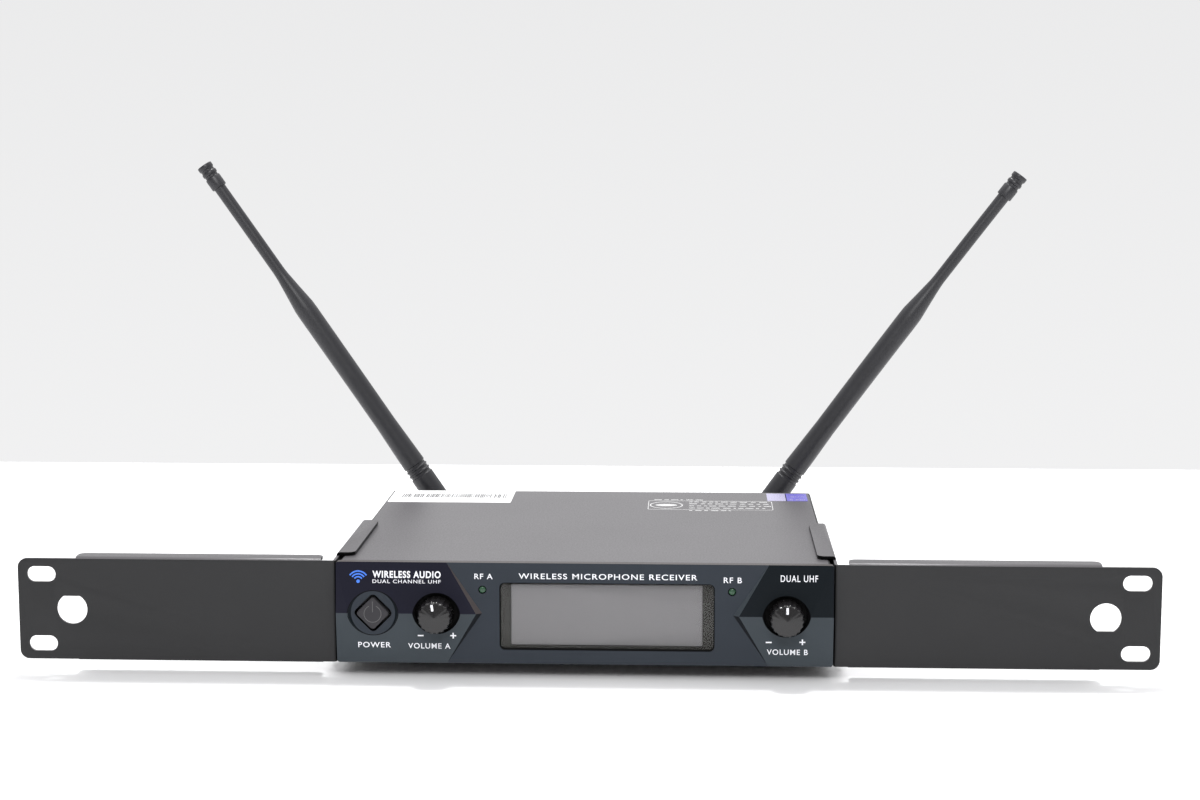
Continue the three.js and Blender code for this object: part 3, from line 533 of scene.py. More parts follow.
def build_panel():
    panel = panel_block()
    tools = [prism("window_hole", rounded(*WINDOW.values()), "y", -3, 5)]
    tools += [rod("led_hole", LED["hole"], -3, 5, "y", (x, 0, LED["z"]), 32) for x in LED["x"]]
    tools += [knob_well(x) for x in KNOB["x"]]
    cut(panel, *tools)
    cut(panel, power_dish())
    hole = moved(rotated(rounded(0, 0, POWER["hole"], POWER["hole"], 2.0), 45), POWER["x"], MID_Z)
    cut(panel, prism("button_hole", hole, "y", -4, 5))
    soften(panel, 0.16, 2)
    paint(panel, CENTRE_PRINT, NAVY_PRINT, SLATE_PRINT, BLACK_PRINT_AND_SHADE, LIT_UPPER_FACET, SHADED_LOWER_FACET, SHADE_BLACK)
    for face in panel.data.polygons:
        face.material_index = panel_zone(face.center, face.normal)
    finished(panel, "case", "panel_plastic", None, "front_panel", limit=20)


def knob_well(x):
    """Cutter for a knob's round well, whose rim flares out to meet the sloping faces."""
    edge = -proud(MID_Z + KNOB["well"])
    slope = (KNOB["rim"] - KNOB["well"]) / (edge + PANEL["ridge"])
    profile = [[0, edge - 2], [KNOB["well"] + 2 * slope, edge - 2], [KNOB["well"], edge], [KNOB["well"], 2.2],
               [4.6, 2.2], [4.6, 5], [0, 5]]
    return turned("well", profile, "y", (x, 0, MID_Z), 96)


def power_dish():
    """Cutter for the shallow dish round the power button, with the same flared rim."""
    floor, radius = -proud(MID_Z + POWER["dish"]), POWER["dish"]
    profile = [[0, floor - 2], [radius + 2 * POWER["flare"], floor - 2], [radius, floor], [0, floor]]
    return turned("dish", profile, "y", (POWER["x"], 0, MID_Z), 96)


def build_button():
    face = -proud(MID_Z + POWER["dish"]) - POWER["proud"]

    def diamond(size, corner):
        return moved(rotated(rounded(0, 0, size, size, corner, 6), 45), POWER["x"], MID_Z)

    cap = prism("power_cap", diamond(POWER["cap"], 1.3), "y", face, 3.0)
    soften(cap, 0.45, 4, 60)
    join(cap, rod("stem", 2.5, 2.8, 11, "y", (POWER["x"], 0, MID_Z), 32))
    finished(cap, "power_button", "button_plastic", CAP_PLASTIC, "power_button")
    build_power_icon(face)


def build_power_icon(face):
    """A ring with a gap at the top and a bar standing in the gap, printed on the cap."""
    x, gap, stroke = POWER["x"], 24, 0.22
    centre, radius = (x, MID_Z - 0.1), 3.5
    depths = (face - 0.03, face + 0.1)
    outer = arc(centre, radius + stroke, 90 + gap, 450 - gap, 48)
    inner = arc(centre, radius, 450 - gap, 90 + gap, 48)
    ring = prism("power_icon_ring", outer + inner, "y", *depths)
    join(ring, block("bar", (x - stroke / 2, x + stroke / 2), depths, (MID_Z + 0.6, MID_Z + 5.2)))
    finished(ring, "power_button", "print_white", DIM_PRINT)


def dish_edge(grow, steps=96):
    """Where the dish's flared wall meets the sloping faces, pushed out by grow."""
    flare = POWER["flare"] * PANEL["ridge"] / HALF_HEIGHT
    widest = POWER["dish"] * (1 + flare)
    angles = [2 * math.pi * i / steps for i in range(steps)]
    radii = [widest / (1 + flare * abs(math.sin(a))) + grow for a in angles]
    return [(POWER["x"] + r * math.cos(a), MID_Z + r * math.sin(a)) for a, r in zip(angles, radii)]


def build_dish_painted_shadow():
    """A thin black line round the power button's dish: the painted shadow of its step."""
    outline = prism("dish_painted_shadow", dish_edge(0.34), "y", -4, 4)
    cut(outline, prism("inner", dish_edge(0.04), "y", -5, 5))
    drape(outline, 0, lambda x, z: -proud(z), lift=0.03)
    finished(outline, "case", "panel_plastic", SHADE_BLACK)


def build_knob(channel, x, turn):
    """A fluted knob with a slightly conical front, and the pointer printed on it."""
    base, face, front, flutes = KNOB["base"], KNOB["face"], KNOB["front"], KNOB["flutes"]
    tip, cone_slope = -front - 0.8, 0.17
    flute_depth, flutes_from, flutes_full = 0.42, 5.9, 6.7

    def cone(radius):
        return tip + cone_slope * radius

    def fluted(angle, radius, along):
        depth = flute_depth * max(0.0, min(1.0, (radius - flutes_from) / (flutes_full - flutes_from)))
        wave = 0.5 - 0.5 * math.cos(angle * flutes)
        return radius - depth * wave ** 0.7

    profile = [[0, tip], [0.5, cone(0.4)], [3.0, cone(3.0)], [6.2, cone(6.2)], [6.6, cone(6.7)],
               [6.85, -front + 0.6], [7.0, -front + 0.9], [7.1, -front + 1.4], [face + 0.1, -7],
               [base - 0.05, -2], [base, 1.3], [base - 0.2, 1.5], [3.2, 1.5], [3.2, -6.5], [0, -6.5]]
    knob = turned(f"knob_{channel}", profile, "y", (x, 0, MID_Z), flutes * 12, shape=fluted)
    finished(knob, f"volume_knob_{channel}", "knob_plastic", GLOSS_BLACK, f"volume_knob_{channel}", limit=40)
    mark = moved(rotated(rounded(0, 4.5, 1.0, 2.7, 0.2, 3), turn), x, MID_Z)
    pointer = prism(f"pointer_{channel}", mark, "y", -1, 1)
    drape(pointer, 0, lambda u, v: cone(math.hypot(u - x, v - MID_Z)))
    finished(pointer, f"volume_knob_{channel}", "print_white", WHITE_PRINT)


def build_led(channel, x):
    radius = LED["radius"]
    dome = [[0, -0.35], [0.45, -0.32], [0.85, -0.24], [1.15, -0.1], [1.35, 0.12], [radius, 0.4]]
    body = [[radius, 4.2], [radius + 0.5, 4.2], [radius + 0.5, 5.2], [0.9, 5.2], [0.9, 8.5], [0, 8.5]]
    lens = turned(f"led_lens_{channel}", dome + body, "y", (x, 0, LED["z"]), 40)
    finished(lens, "case", "led_green", LENS_GREEN, f"rf_led_{channel}")


def build_window():
    """The clear pane, and the shadow at the edge of its opening painted as a thin black line in front of it.
    """
    x, z, width, height, corner = WINDOW.values()
    pane = prism("window_pane", rounded(x, z, width - 0.6, height - 0.6, corner - 0.3), "y", 0.7, 2.2)
    soften(pane, 0.12, 2)
    finished(pane, "case", "display_lens", PANE, "display_window")
    line = prism("window_painted_shadow", rounded(x, z, width - 0.02, height - 0.02, corner), "y", 0.5, 0.68)
    # The painted shadow is widest at the bottom, where the gap is darkest.
    clear = rounded(x + 0.05, z + 0.2, width - 0.92, height - 1.12, corner - 0.4)
    cut(line, prism("clear", clear, "y", 0, 1))
    finished(line, "case", "display_frame", SHADE_BLACK)


def build_display():
    """The mask round the screen, and the glass with a step that stands in the mask's opening."""
    x, z, width, height = SCREEN["x"], WINDOW["z"], SCREEN["width"], SCREEN["height"]
    mask = rounded(WINDOW["x"], z, BEZEL["width"], BEZEL["height"], BEZEL["corner"])
    bezel = prism("display_mask", mask, "y", BEZEL["front"], BEZEL["back"])
    cut(bezel, prism("opening", rounded(x, z, width, height, 0.7, 5), "y", 3, 6))
    finished(bezel, "case", "display_frame", BORDER, "display_bezel")
    sheet = rounded(x, z, GLASS["width"], GLASS["height"], 0.5)
    glass = prism("lcd_panel", sheet, "y", GLASS["front"], GLASS["back"])
    step = rounded(x, z, width - 0.6, height - 0.6, 0.5, 5)
    join(glass, prism("active", step, "y", GLASS["step_front"], GLASS["front"] + 0.15))
    finished(glass, "case", "lcd_glass", GLASS_GREY, "lcd_module")


# ---- printing
def text_mesh(name, text, bold):
    """The flat outline of a line of text, in the built-in font's own units."""
    curve = bpy.data.curves.new(name, "FONT")
    curve.body = text
    curve.offset = bold
    curve.space_character = 1.16
    curve.resolution_u = 6
    source = link(name + "_curve", curve)
    depsgraph = bpy.context.evaluated_depsgraph_get()
    mesh = bpy.data.meshes.new_from_object(source.evaluated_get(depsgraph))
    bpy.data.objects.remove(source)
    return mesh


def fitter(values, target):
    """A function that carries the spread of values onto the target range."""
    low, high = min(values), max(values)
    return lambda value: target[0] + (value - low) / (high - low) * (target[1] - target[0])


def lettering(name, text, x_range, z_range, surface_y, bold=0.012, lift=0.05):
    """Text fitted to a range of x and z, with its front at lift before the surface y = surface_y(z)."""
    work = bmesh.new()
    work.from_mesh(text_mesh(name, text, bold))
    bmesh.ops.remove_doubles(work, verts=work.verts, dist=1e-5)
    fit_x = fitter([v.co.x for v in work.verts], x_range)
    fit_z = fitter([v.co.y for v in work.verts], z_range)
    made = bmesh.ops.extrude_face_region(work, geom=list(work.faces))["geom"]
    front = {v for v in made if isinstance(v, bmesh.types.BMVert)}
    for vert in work.verts:
        x, z = fit_x(vert.co.x), fit_z(vert.co.y)
        vert.co = placed([(x, surface_y(z) - (lift if vert in front else -SUNK), z)])[0]
    bmesh.ops.recalc_face_normals(work, faces=work.faces)
    mesh = bpy.data.meshes.new(name)
    work.to_mesh(mesh)
    work.free()
    finished(link(name, mesh), "case", "print_white", WHITE_PRINT)


def on_panel(z):
    return 0.0


def on_roof(z):
    return -proud(z)


def build_front_legends():
    """The panel's words and signs; a row gives the range of x, the range of z and the surface it lies on."""
    rows = (
        ("rf_a", "RF A", (-46.2, -38.5), (43.1, 45.4), on_panel),
        ("title", "WIRELESS MICROPHONE RECEIVER", (-27.5, 47.7), (43.3, 45.7), on_panel),
        ("rf_b", "RF B", (58.8, 66.4), (42.3, 44.7), on_panel),
        ("power", "POWER", (-95.75, -81.85), (13.3, 15.7), on_roof),
        ("volume_a", "VOLUME A", (-74.45, -56.55), (13.0, 15.4), on_roof),
        ("volume_b", "VOLUME B", (77.1, 94.3), (11.8, 14.2), on_roof),
        ("maker_line", "WIRELESS AUDIO", (-89.3, -60.4), (43.4, 46.4), on_roof),
        ("class_line", "DUAL CHANNEL UHF", (-89.3, -60.4), (41.2, 42.7), on_roof),
        ("band", "DUAL UHF", (82.6, 98.2), (43.15, 45.95), on_roof),
    )
    weights = {"maker_line": 0.03, "class_line": 0.004, "band": 0.006}
    for name, text, x_range, z_range, surface_y in rows:
        lettering("legend_" + name, text, x_range, z_range, surface_y, bold=weights.get(name, 0.008))
    for name, x, z, upright in (("a_less", -69.05, 18.75, False), ("a_more", -55.25, 18.85, True),
                                ("b_less", 77.85, 17.25, False), ("b_more", 91.95, 17.45, True)):
        build_sign(name, x, z, upright)


def build_sign(name, x, z, upright):
    """A minus sign, or a plus sign where an upright stroke crosses it."""
    y, reach, thin = -proud(z), 1.25, 0.29
    depths = (y - 0.5, y + 0.5)
    sign = block("sign_" + name, (x - reach, x + reach), depths, (z - thin, z + thin))
    if upright:
        join(sign, block("stroke", (x - thin, x + thin), depths, (z - reach, z + reach)))
    drape(sign, y, lambda x, z: -proud(z))
    finished(sign, "case", "print_white", WHITE_PRINT)


def build_wave_icon():
    """A plain radio-wave symbol: a dot with three arcs over it."""
    x, z, thin = -95.4, 41.9, 0.3
    y = -proud(z + 2)
    icon = prism("wave_icon", arc((x, z), 0.75, 0, 360, 20)[:-1], "y", y - thin, y + thin)
    for radius in (1.9, 3.1, 4.3):
        outer = arc((x, z), radius + thin, 35, 145, 24)
        inner = arc((x, z), radius - thin, 145, 35, 24)
        join(icon, prism("wave", outer + inner, "y", y - thin, y + thin))
    drape(icon, y, lambda x, z: -proud(z))
    finished(icon, "case", "print_blue", BLUE_PRINT)


# ---- labels on the cover
def top_plate(name, x, y, material, corner=0.6):
    """A label on the cover over a range of x and a range of y."""
    outline = rounded((x[0] + x[1]) / 2, (y[0] + y[1]) / 2, x[1] - x[0], y[1] - y[0], corner, 4)
    finished(prism(name, outline, "z", TOP_Z - SUNK, LABEL_TOP), "case", "label_film", material)


def bars(name, x, y, fill, seed, material):
    """Bars of uneven width, like a bar code that reads as nothing; fill is the share of bars kept."""
    chance = random.Random(seed)
    at, strips = x[0], []
    while at < x[1]:
        wide = chance.uniform(0.3, 0.7)
        if chance.random() < fill:
            strips.append(block("strip", (at, min(at + wide, x[1])), y, (LABEL_TOP - SUNK, LABEL_TOP + 0.03)))
        at += wide + chance.uniform(0.25, 0.6)
    one_piece(name, strips, "label_film", material)


def one_piece(name, parts, slot, material):
    """Makes one piece of the case from several separate shapes."""
    work = bmesh.new()
    for part in parts:
        work.from_mesh(part.data)
        bpy.data.objects.remove(part)
    mesh = bpy.data.meshes.new(name)
    work.to_mesh(mesh)
    work.free()
    finished(link(name, mesh), "case", slot, material)


def build_cover_labels():
    top_plate("code_label", (-102.4, -42.5), (140.0, 171.9), LABEL)
    bars("code_label_bars", (-97, -46), (152.5, 162.5), 0.97, 11, LABEL_INK)
    bars("code_label_row", (-88, -54), (165.0, 166.5), 0.7, 5, LABEL_INK)
    top_plate("seal_label_pale", (82.0, 91.5), (149.8, 170), LAVENDER, corner=0.1)
    top_plate("seal_label_violet", (91.1, 101.6), (149.8, 170), VIOLET, corner=0.1)
    bars("seal_rows", (93.0, 100.4), (152.0, 154.5), 0.8, 3, LAVENDER)
    bars("seal_rows_back", (93.0, 100.4), (160.0, 162.0), 0.8, 8, LAVENDER)
    build_rating_box()


def outline_ring(name, outer, inner, heights):
    """The flat band between two outlines."""
    ring = prism(name, outer, "z", *heights)
    return cut(ring, prism("inside", inner, "z", heights[0] - 1, heights[1] + 1))


def build_rating_box():
    """A generic outlined rating box: a frame, an oval and rows of strokes in place of words."""
    x, y, width, height, oval_x = 54.1, 136.8, 59.8, 23.4, 33
    heights = (TOP_Z - SUNK, TOP_Z + 0.04)
    outer, inner = rounded(x, y, width, height, 1.6, 5), rounded(x, y, width - 0.7, height - 1.2, 1.3, 5)
    oval, oval_inner = oval_outline(oval_x, y, 8.0, 9.0), oval_outline(oval_x, y, 7.4, 8.0)
    parts = [outline_ring("box", outer, inner, heights), outline_ring("oval", oval, oval_inner, heights),
             prism("oval_core", oval_outline(oval_x, y, 5.2, 3.0), "z", *heights)]
    chance = random.Random(21)
    rows = ((122.4, 44, 64), (129, 44, 80), (134.5, 44, 80), (140, 44, 80), (145, 44, 80), (150.4, 27, 48))
    for row, at, end in rows:
        while at < end:
            length = chance.uniform(1.0, 4.0)
            parts.append(block("word", (at, at + length), (row, row + 1.4), heights))
            at += length + chance.uniform(0.8, 1.8)
    one_piece("rating_box", parts, "print_white", PALE_LINE)


def oval_outline(x, y, half_x, half_y, steps=48):
    return [(x + half_x * math.cos(2 * math.pi * i / steps), y + half_y * math.sin(2 * math.pi * i / steps))
            for i in range(steps)]


# ---- rack ears
def ear_plate():
    """The ear's face, cut away at its inner end, where the bend of the side flange takes over."""
    width, half = EAR["edge"] - EAR["inner"], EAR["height"] / 2
    outline = rounded((EAR["edge"] + EAR["inner"]) / 2, MID_Z, width, EAR["height"], EAR["corner"], 12)
    plate = prism("ear", outline, "y", EAR["face"], EAR["face"] + EAR["sheet"])
    inner_end = (EAR["inner"] - 1, EAR["inner"] + EAR["side_laps"] - 0.5)
    return cut(plate, block("corner", inner_end, (0, 3), (MID_Z - half - 1, MID_Z + half + 1)))


def ear_side():
    """The flange that runs back along the case, with the bend that joins it to the plate."""
    centre = (EAR["inner"] + EAR["bend"], EAR["face"] + EAR["bend"])
    start = EAR["inner"] + EAR["side_laps"]
    outline = [(start, EAR["face"]), (start, EAR["face"] + EAR["sheet"])]
    outline += arc(centre, EAR["bend"] - EAR["sheet"], 270, 180)
    outline += [(EAR["inner"] + EAR["sheet"], EAR["side_to"]), (EAR["inner"], EAR["side_to"])]
    outline += arc(centre, EAR["bend"], 180, 270)
    half = EAR["height"] / 2
    return prism("flange", outline, "z", MID_Z - half, MID_Z + half)


def ear_fold(up):
    """Long edge folded back to stiffen the ear, with rounded free corners."""
    outer = EAR["height"] / 2 + EAR["fold_proud"]
    root = outer - 5
    centre = (EAR["face"] + EAR["fold_bend"], outer - EAR["fold_bend"])
    half_profile = [(EAR["face"], root)]
    half_profile += arc(centre, EAR["fold_bend"], 180, 90, 12)
    half_profile += [(EAR["fold_depth"], outer), (EAR["fold_depth"], outer - EAR["sheet"])]
    half_profile += arc(centre, EAR["fold_bend"] - EAR["sheet"], 90, 180)
    half_profile += [(EAR["face"] + EAR["sheet"], root)]
    outline = [(y, MID_Z + up * z) for y, z in half_profile]
    strip = prism("fold", outline, "x", EAR["fold_from"], EAR["fold_to"])
    radius, depth = 3.0, EAR["fold_depth"]
    above = [(EAR["fold_from"], -2), (EAR["fold_to"], -2)]
    above += arc((EAR["fold_to"] - radius, depth - radius), radius, 0, 90)
    above += arc((EAR["fold_from"] + radius, depth - radius), radius, 90, 180)
    return combine(strip, [prism("above", above, "z", -30, 90)], "INTERSECT")


def ear_tab(up):
    """Lip that folds over the case's edge, so the ear hooks on above and below."""
    top = HALF_HEIGHT + EAR["tab_lift"] + EAR["sheet"]
    out = EAR["inner"] + EAR["sheet"]
    centre, root = (out - EAR["bend"], top - EAR["bend"]), 15
    half_profile = [(out, root)]
    half_profile += arc(centre, EAR["bend"], 0, 90)
    half_profile += [(EAR["tab_inner"], top), (EAR["tab_inner"], top - EAR["sheet"])]
    half_profile += arc(centre, EAR["bend"] - EAR["sheet"], 90, 0)
    half_profile += [(EAR["inner"], root)]
    lip = prism("lip", [(x, MID_Z + up * z) for x, z in half_profile], "y", EAR["tab_from"], EAR["tab_to"])
    radius, reach = 3.2, EAR["inner"] + 5
    above = [(reach, EAR["tab_from"]), (reach, EAR["tab_to"])]
    above += arc((EAR["tab_inner"] + radius, EAR["tab_to"] - radius), radius, 90, 180)
    above += arc((EAR["tab_inner"] + radius, EAR["tab_from"] + radius), radius, 180, 270)
    return combine(lip, [prism("above", above, "z", -40, 90)], "INTERSECT")


def ear_holes():
    """Cutters for the two rack slots, the D-shaped antenna hole and the side screws."""
    thin_end = SLOT["width"] / 2 - 0.01
    tools = [prism("slot", rounded(SLOT["x"], MID_Z + up * SLOT["pitch"] / 2, SLOT["length"], SLOT["width"],
                                   thin_end, 12), "y", -1, 4) for up in (-1, 1)]
    limit = math.degrees(math.acos(JACK_HOLE["flat"] / JACK_HOLE["radius"]))
    hole = arc((JACK_HOLE["x"], MID_Z), JACK_HOLE["radius"], -90 + limit, 270 - limit, 48)
    tools.append(prism("jack_hole", hole, "y", -1, 4))
    return tools + [rod("hole", SCREW["hole"], 100, 110, "x", (0, y, MID_Z), 24) for y in EAR_SCREWS]


def ear_finish(face):
    """Index of a face's material: a lighter copy of the paint on upward faces as painted light, black on the
    edge beside the panel as painted shadow, or plain paint.
    """
    # Upward faces take the lighter copy: painted light.
    if face.normal.z > 0.5:
        return 1
    # The bend beside the panel is painted near-black: a painted shadow of the panel's edge.
    beside_panel = abs(face.center.x) < (EAR["inner"] + 0.5) * MM
    return 2 if beside_panel and face.normal.y < -0.1 else 0


def build_ear(side, sign):
    ear = join(ear_plate(), ear_side(), ear_fold(1), ear_fold(-1), ear_tab(1), ear_tab(-1))
    cut(ear, *ear_holes())
    soften(ear, 0.14, 2, 40)
    if sign < 0:
        turn_over = Matrix.Translation((0, 0, MID_Z * MM)) @ Matrix.Rotation(math.pi, 4, "Y")
        ear.data.transform(turn_over @ Matrix.Translation((0, 0, -MID_Z * MM)))
    ear.name = f"ear_{side}"
    paint(ear, EAR_PAINT_AND_SIDE_SHADE, EAR_TOP_LIT, SHADE_BLACK)
    for face in ear.data.polygons:
        face.material_index = ear_finish(face)
    finished(ear, "case", "dark_paint", None, f"rack_ear_{side}")


def build_screw(node, x, y, sign, reach):
    """Pan-head screw with a cross recess."""
    profile = [[0, -reach], [1.3, -reach], [1.5, -reach + 0.2], [1.5, 0], [2.9, 0], [2.9, 0.7], [2.7, 1.2],
               [2.2, 1.6], [1.3, 1.85], [0, 1.9]]
    arm, thin = 1.5, 0.3
    matrix = Matrix.Identity(4) if sign > 0 else Matrix.Rotation(math.pi, 4, "Z")
    screw = turned(node + "_head", profile, "x", (x, y, MID_Z), 40, matrix)
    depths = sorted((x + sign * 1.0, x + sign * 3.0))
    cross = block("cross", depths, (y - thin, y + thin), (MID_Z - arm, MID_Z + arm))
    join(cross, block("cross_arm", depths, (y - arm, y + arm), (MID_Z - thin, MID_Z + thin)))
    cut(screw, cross)
    finished(screw, "case", "screw_steel", BLACK_STEEL, node)


# ---- antennas
def whip_profile():
    """Radius and height up the antenna: a tapering base with three grooves, a waist and a thin rod."""
    base, base_top = WHIP["base"], WHIP["base_top"]
    taper = (base - WHIP["waist"]) / (WHIP["waist_at"] - base_top)
    profile = [[0, 16.4], [2.9, 16.4], [2.9, 9.7], [5.35, 9.7], [5.65, 9.8], [base, 10.2], [base, base_top]]
    for z in WHIP["grooves"]:
        radius = base - (z - base_top) * taper
        floor = radius - 0.5
        profile += [[radius, z - 0.95], [radius - 0.15, z - 0.8], [floor, z - 0.5]]
        profile += [[floor, z + 0.5], [radius - 0.15, z + 0.8], [radius, z + 0.95]]
    profile += [[WHIP["waist"], WHIP["waist_at"]], [5.22, 80], [5.24, 98], [5.27, 115], [5.3, 131]]
    profile += [[5.2, 135], [4.1, 144.5], [3.15, 153.5], [3.0, 157], [3.0, 170], [3.0, 183], [3.0, 196]]
    return profile + [[3.0, WHIP["rod_top"]], [0, WHIP["rod_top"]]]


def tip_profile():
    """The cap on the rod's end: a sleeve and two beads over it."""
    sleeve = [[0, 209.9], [3.35, 209.9], [3.35, 208], [3.65, 208], [3.85, 208.15], [3.9, 208.5], [3.9, 213.7],
              [3.75, 214.1], [3.35, 214.4]]
    first_bead = [[3.35, 215.4], [3.75, 215.7], [3.85, 216.0], [3.85, 217.0], [3.7, 217.4], [3.4, 217.7]]
    second_bead = [[3.4, 218.7], [3.75, 219.0], [3.9, 219.3], [3.9, 220.9], [3.8, 221.25]]
    return sleeve + first_bead + second_bead + [[3.5, WHIP["length"]], [0, WHIP["length"]]]


def build_antenna(channel, i, sign):
    origin = (sign * ANTENNA_X, PIVOT_Y, MID_Z)
    lean = Matrix.Rotation(math.radians(LEAN[i]), 4, "Y")

    def bow(along):
        share = along / WHIP["length"]
        return -sign * BOW[i] * 4 * share * (1 - share)

    for node, profile in (("whip", whip_profile()), ("tip", tip_profile())):
        piece = turned(f"{node}_{channel}", profile, "z", origin, 64, lean, bow=bow)
        finished(piece, f"antenna_arm_{channel}", "antenna_rubber", RUBBER, f"antenna_{node}_{channel}")
    build_sleeve(channel, origin)
    dress(f"antenna_knuckle_{channel}", MOULDING)
    dress(f"antenna_plug_{channel}", MOULDING)
    dress(f"hinge_pin_{channel}", STEEL)


def build_sleeve(channel, origin):
    """The bayonet coupling's knurled sleeve."""
    front, ridges = WALL_OUT - PIVOT_Y + 2.6, 40

    def knurled(angle, radius, along):
        grip = radius > 6.8 and front + 3.5 < along < -9.8
        return radius - (0.22 * (0.5 - 0.5 * math.cos(angle * ridges)) if grip else 0)

    profile = [[5.9, front], [7.0, front], [7.3, front + 0.35], [7.3, front + 3.4], [7.25, front + 3.7],
               [7.25, -10.0], [7.3, -9.7], [7.3, -8.6], [6.9, -8.2], [5.0, -8.2], [5.0, -10.5], [5.9, -10.5],
               [5.9, front]]
    sleeve = turned(f"sleeve_{channel}", profile, "y", origin, ridges * 4, shape=knurled)
    finished(sleeve, f"coupling_{channel}", "black_moulding", MOULDING, f"coupling_sleeve_{channel}")


def dress(node, material):
    """Gives a CAD piece that stays as it is its finish."""
    paint(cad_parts[node], material)


# ---- back panel
def build_back_details():
    for channel, _, sign in CHANNELS:
        build_xlr(channel, sign * XLR["x"])
        dress(f"antenna_jack_{channel}", NICKEL)
        dress(f"antenna_jack_nut_{channel}", NICKEL)
    dress("mix_jack_nut", NICKEL)
    dress("mix_output_jack", MOULDING)
    dress("dc_inlet", MOULDING)
    back_lettering("back_antenna_a", "ANT A", -ANTENNA_X, 8.4)
    back_lettering("back_antenna_b", "ANT B", ANTENNA_X, 8.4)
    back_lettering("back_out_a", "OUTPUT A", -XLR["x"], 12.4)
    back_lettering("back_out_b", "OUTPUT B", XLR["x"], 12.4)
    back_lettering("back_mix", "MIX OUT", 0, 10.4)
    back_lettering("back_dc", "DC IN", POWER_IN_X, 7.6)


def back_lettering(name, text, x, width):
    """Back legends read from behind, so they are fitted from right to left."""
    low, height = 9.2, 1.9
    lettering(name, text, (x + width / 2, x - width / 2), (low, low + height), lambda z: CASE["depth"],
              lift=-0.05)


def build_xlr(channel, x):
    """A three-pole output: flanged shell with a round socket, two screw holes and three pins."""
    centre = (x, 0, MID_Z)
    floor, mouth = WALL_OUT - XLR["deep"], WALL_OUT + XLR["proud"]
    outline = rounded(x, MID_Z, XLR["width"], XLR["height"], XLR["corner"])
    plate = prism(f"xlr_{channel}", outline, "y", WALL_OUT, mouth)
    join(plate, rod("shell", XLR["shell"], floor - 2.5, mouth - 0.5, "y", centre, 64))
    tools = [rod("cavity", XLR["socket"], floor, mouth + 1, "y", centre, 64)]
    tools += [rod("screw_hole", 1.6, WALL_OUT - 1, mouth + 1, "y", (x + s * 9.5, 0, MID_Z - s * 12), 24)
              for s in (-1, 1)]
    cut(plate, *tools)
    soften(plate, 0.2, 2)
    finished(plate, "case", "black_moulding", MOULDING, f"xlr_output_{channel}")
    profile = [[0, floor - 1], [1.2, floor - 1], [1.2, mouth - 3.6], [0.9, mouth - 3.1], [0, mouth - 3]]
    pins = [turned("pin", profile, "y", (x + dx, 0, MID_Z + dz), 24) for dx, dz in ((-5, 1), (5, 1), (0, -5))]
    one_piece(f"xlr_pins_{channel}", pins, "nickel_plate", NICKEL)


# ---- inside
def dress_inside():
    """Finishes of the pieces inside the case, which keep their CAD shapes."""
    finishes = {
        "chassis_tray": PAINT_WITH_SHEEN, "display_board": BOARD, "main_board": BOARD, "heat_sink": STEEL,
        "voltage_regulator": MOULDING, "power_switch": MOULDING,
    }
    for channel in "ab":
        finishes[f"volume_shaft_{channel}"] = STEEL
        finishes[f"volume_pot_{channel}"] = MOULDING
        finishes[f"rf_shield_{channel}"] = STEEL
        finishes[f"filter_capacitor_{channel}"] = MOULDING
    for node, material in finishes.items():
        dress(node, material)


# ---- studio
def build_floor():
    """The pale floor, whose back edge is the line where the wall begins in the view from the front."""
    half, front, back = FLOOR["half_width"], FLOOR["front"], FLOOR["back"]
    corners = [(-half, front, 0), (half, front, 0), (half, back, 0), (-half, back, 0)]
    floor = from_faces("floor", corners, [[0, 1, 2, 3]])
    paint(floor, surface("pale_floor", (247, 247, 248), 0.6, grain=40, bump=0.01, mottle=0.01,
                         mottle_size=3))


def build_lights():
    target = (0.0, 0.0, 0.02)
    area_light("key", (0.0, 0.36, 1.62), target, size=0.22, power=17)
    area_light("front", (0.0, -1.5, 1.2), target, size=0.7, power=15.6)


def area_light(name, place, target, size, power):
    """A round lamp, its size in metres and its power in watts, turned towards the target."""
    data = bpy.data.lights.new(name, "AREA")
    data.shape = "DISK"
    data.size = size
    data.energy = power
    light = bpy.data.objects.new(name, data)
    light.location = place
    light.rotation_euler = (Vector(target) - Vector(place)).to_track_quat("-Z", "Y").to_euler()
    scene.collection.objects.link(light)


def height_ramp(tree, height, stops):
    """Greys up the room: each stop is a height, from 0 straight down to 1 straight up, and its brightness."""
    node = tree.nodes.new("ShaderNodeValToRGB")
    elements = node.color_ramp.elements
    while len(elements) < len(stops):
        elements.new(0.5)
    for element, (position, grey) in zip(elements, stops):
        element.position = position
        element.color = (grey, grey, grey * 1.005, 1)
    wire(tree, node, {"Fac": ramp(tree, height, 0, 1, -1, 1)})
    return node.outputs["Color"]


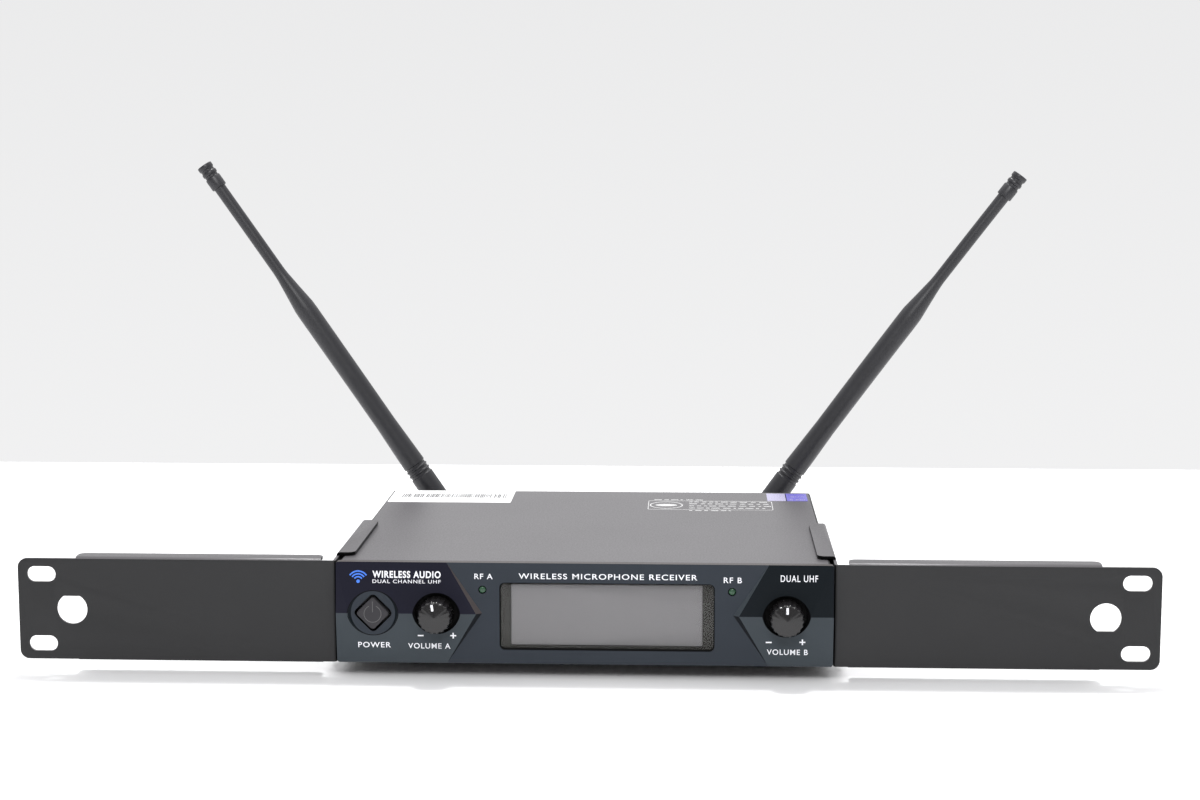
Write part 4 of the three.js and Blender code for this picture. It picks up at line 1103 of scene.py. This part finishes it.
def build_room():
    """The light from all round: a pale wall behind the floor, a bright ceiling and a dimmer side in front."""
    world = bpy.data.worlds.new("room")
    world.use_nodes = True
    tree = world.node_tree
    direction = tree.nodes.new("ShaderNodeSeparateXYZ")
    wire(tree, direction, {"Vector": tree.nodes.new("ShaderNodeTexCoord").outputs["Generated"]})
    height = direction.outputs["Z"]
    front = height_ramp(tree, height, ((0.44, 0.42), (0.5, 0.11), (0.8, 0.375)))
    back = height_ramp(tree, height, ((0.42, 0.44), (0.53, 0.415), (0.75, 0.5), (0.95, 0.8)))
    behind = ramp(tree, direction.outputs["Y"], 0, 1, -0.08, 0.08)
    wire(tree, tree.nodes["Background"], {"Color": blend(tree, behind, front, back), "Strength": 2.0})
    scene.world = world


def build_camera():
    data = bpy.data.cameras.new("camera")
    data.sensor_width = 36
    data.lens = CAMERA["lens"]
    camera = bpy.data.objects.new("camera", data)
    camera.location = CAMERA["place"]
    camera.rotation_euler = [math.radians(a) for a in (90 - CAMERA["down"], CAMERA["roll"], CAMERA["pan"])]
    scene.collection.objects.link(camera)
    scene.camera = camera
    scene.view_settings.view_transform = "Standard"


# ---- everything
build_camera()
build_floor()
build_lights()
build_room()
build_cover()
build_panel()
build_button()
build_dish_painted_shadow()
build_window()
build_display()
for channel, i, sign in CHANNELS:
    build_knob(channel, KNOB["x"][i], POINTER_TURN[i])
    build_led(channel, LED["x"][i])
    build_antenna(channel, i, sign)
build_front_legends()
build_wave_icon()
build_cover_labels()
build_back_details()
dress_inside()
for side, sign in (("left", -1), ("right", 1)):
    build_ear(side, sign)
    ear_side_x = EAR["inner"] + EAR["sheet"] + SCREW["stand_off"]
    for n, y in enumerate(EAR_SCREWS):
        build_screw(f"ear_screw_{side}_{n + 1}", sign * ear_side_x, y, sign, SCREW["ear_reach"])
    cover_side_x = CASE["width"] / 2 + SCREW["stand_off"]
    build_screw(f"cover_screw_{side}", sign * cover_side_x, COVER_SCREW, sign, SCREW["cover_reach"])
    build_foot(f"foot_front_{side}", sign * FOOT["x"], FOOT["front_y"])
    build_foot(f"foot_back_{side}", sign * FOOT["x"], FOOT["back_y"])
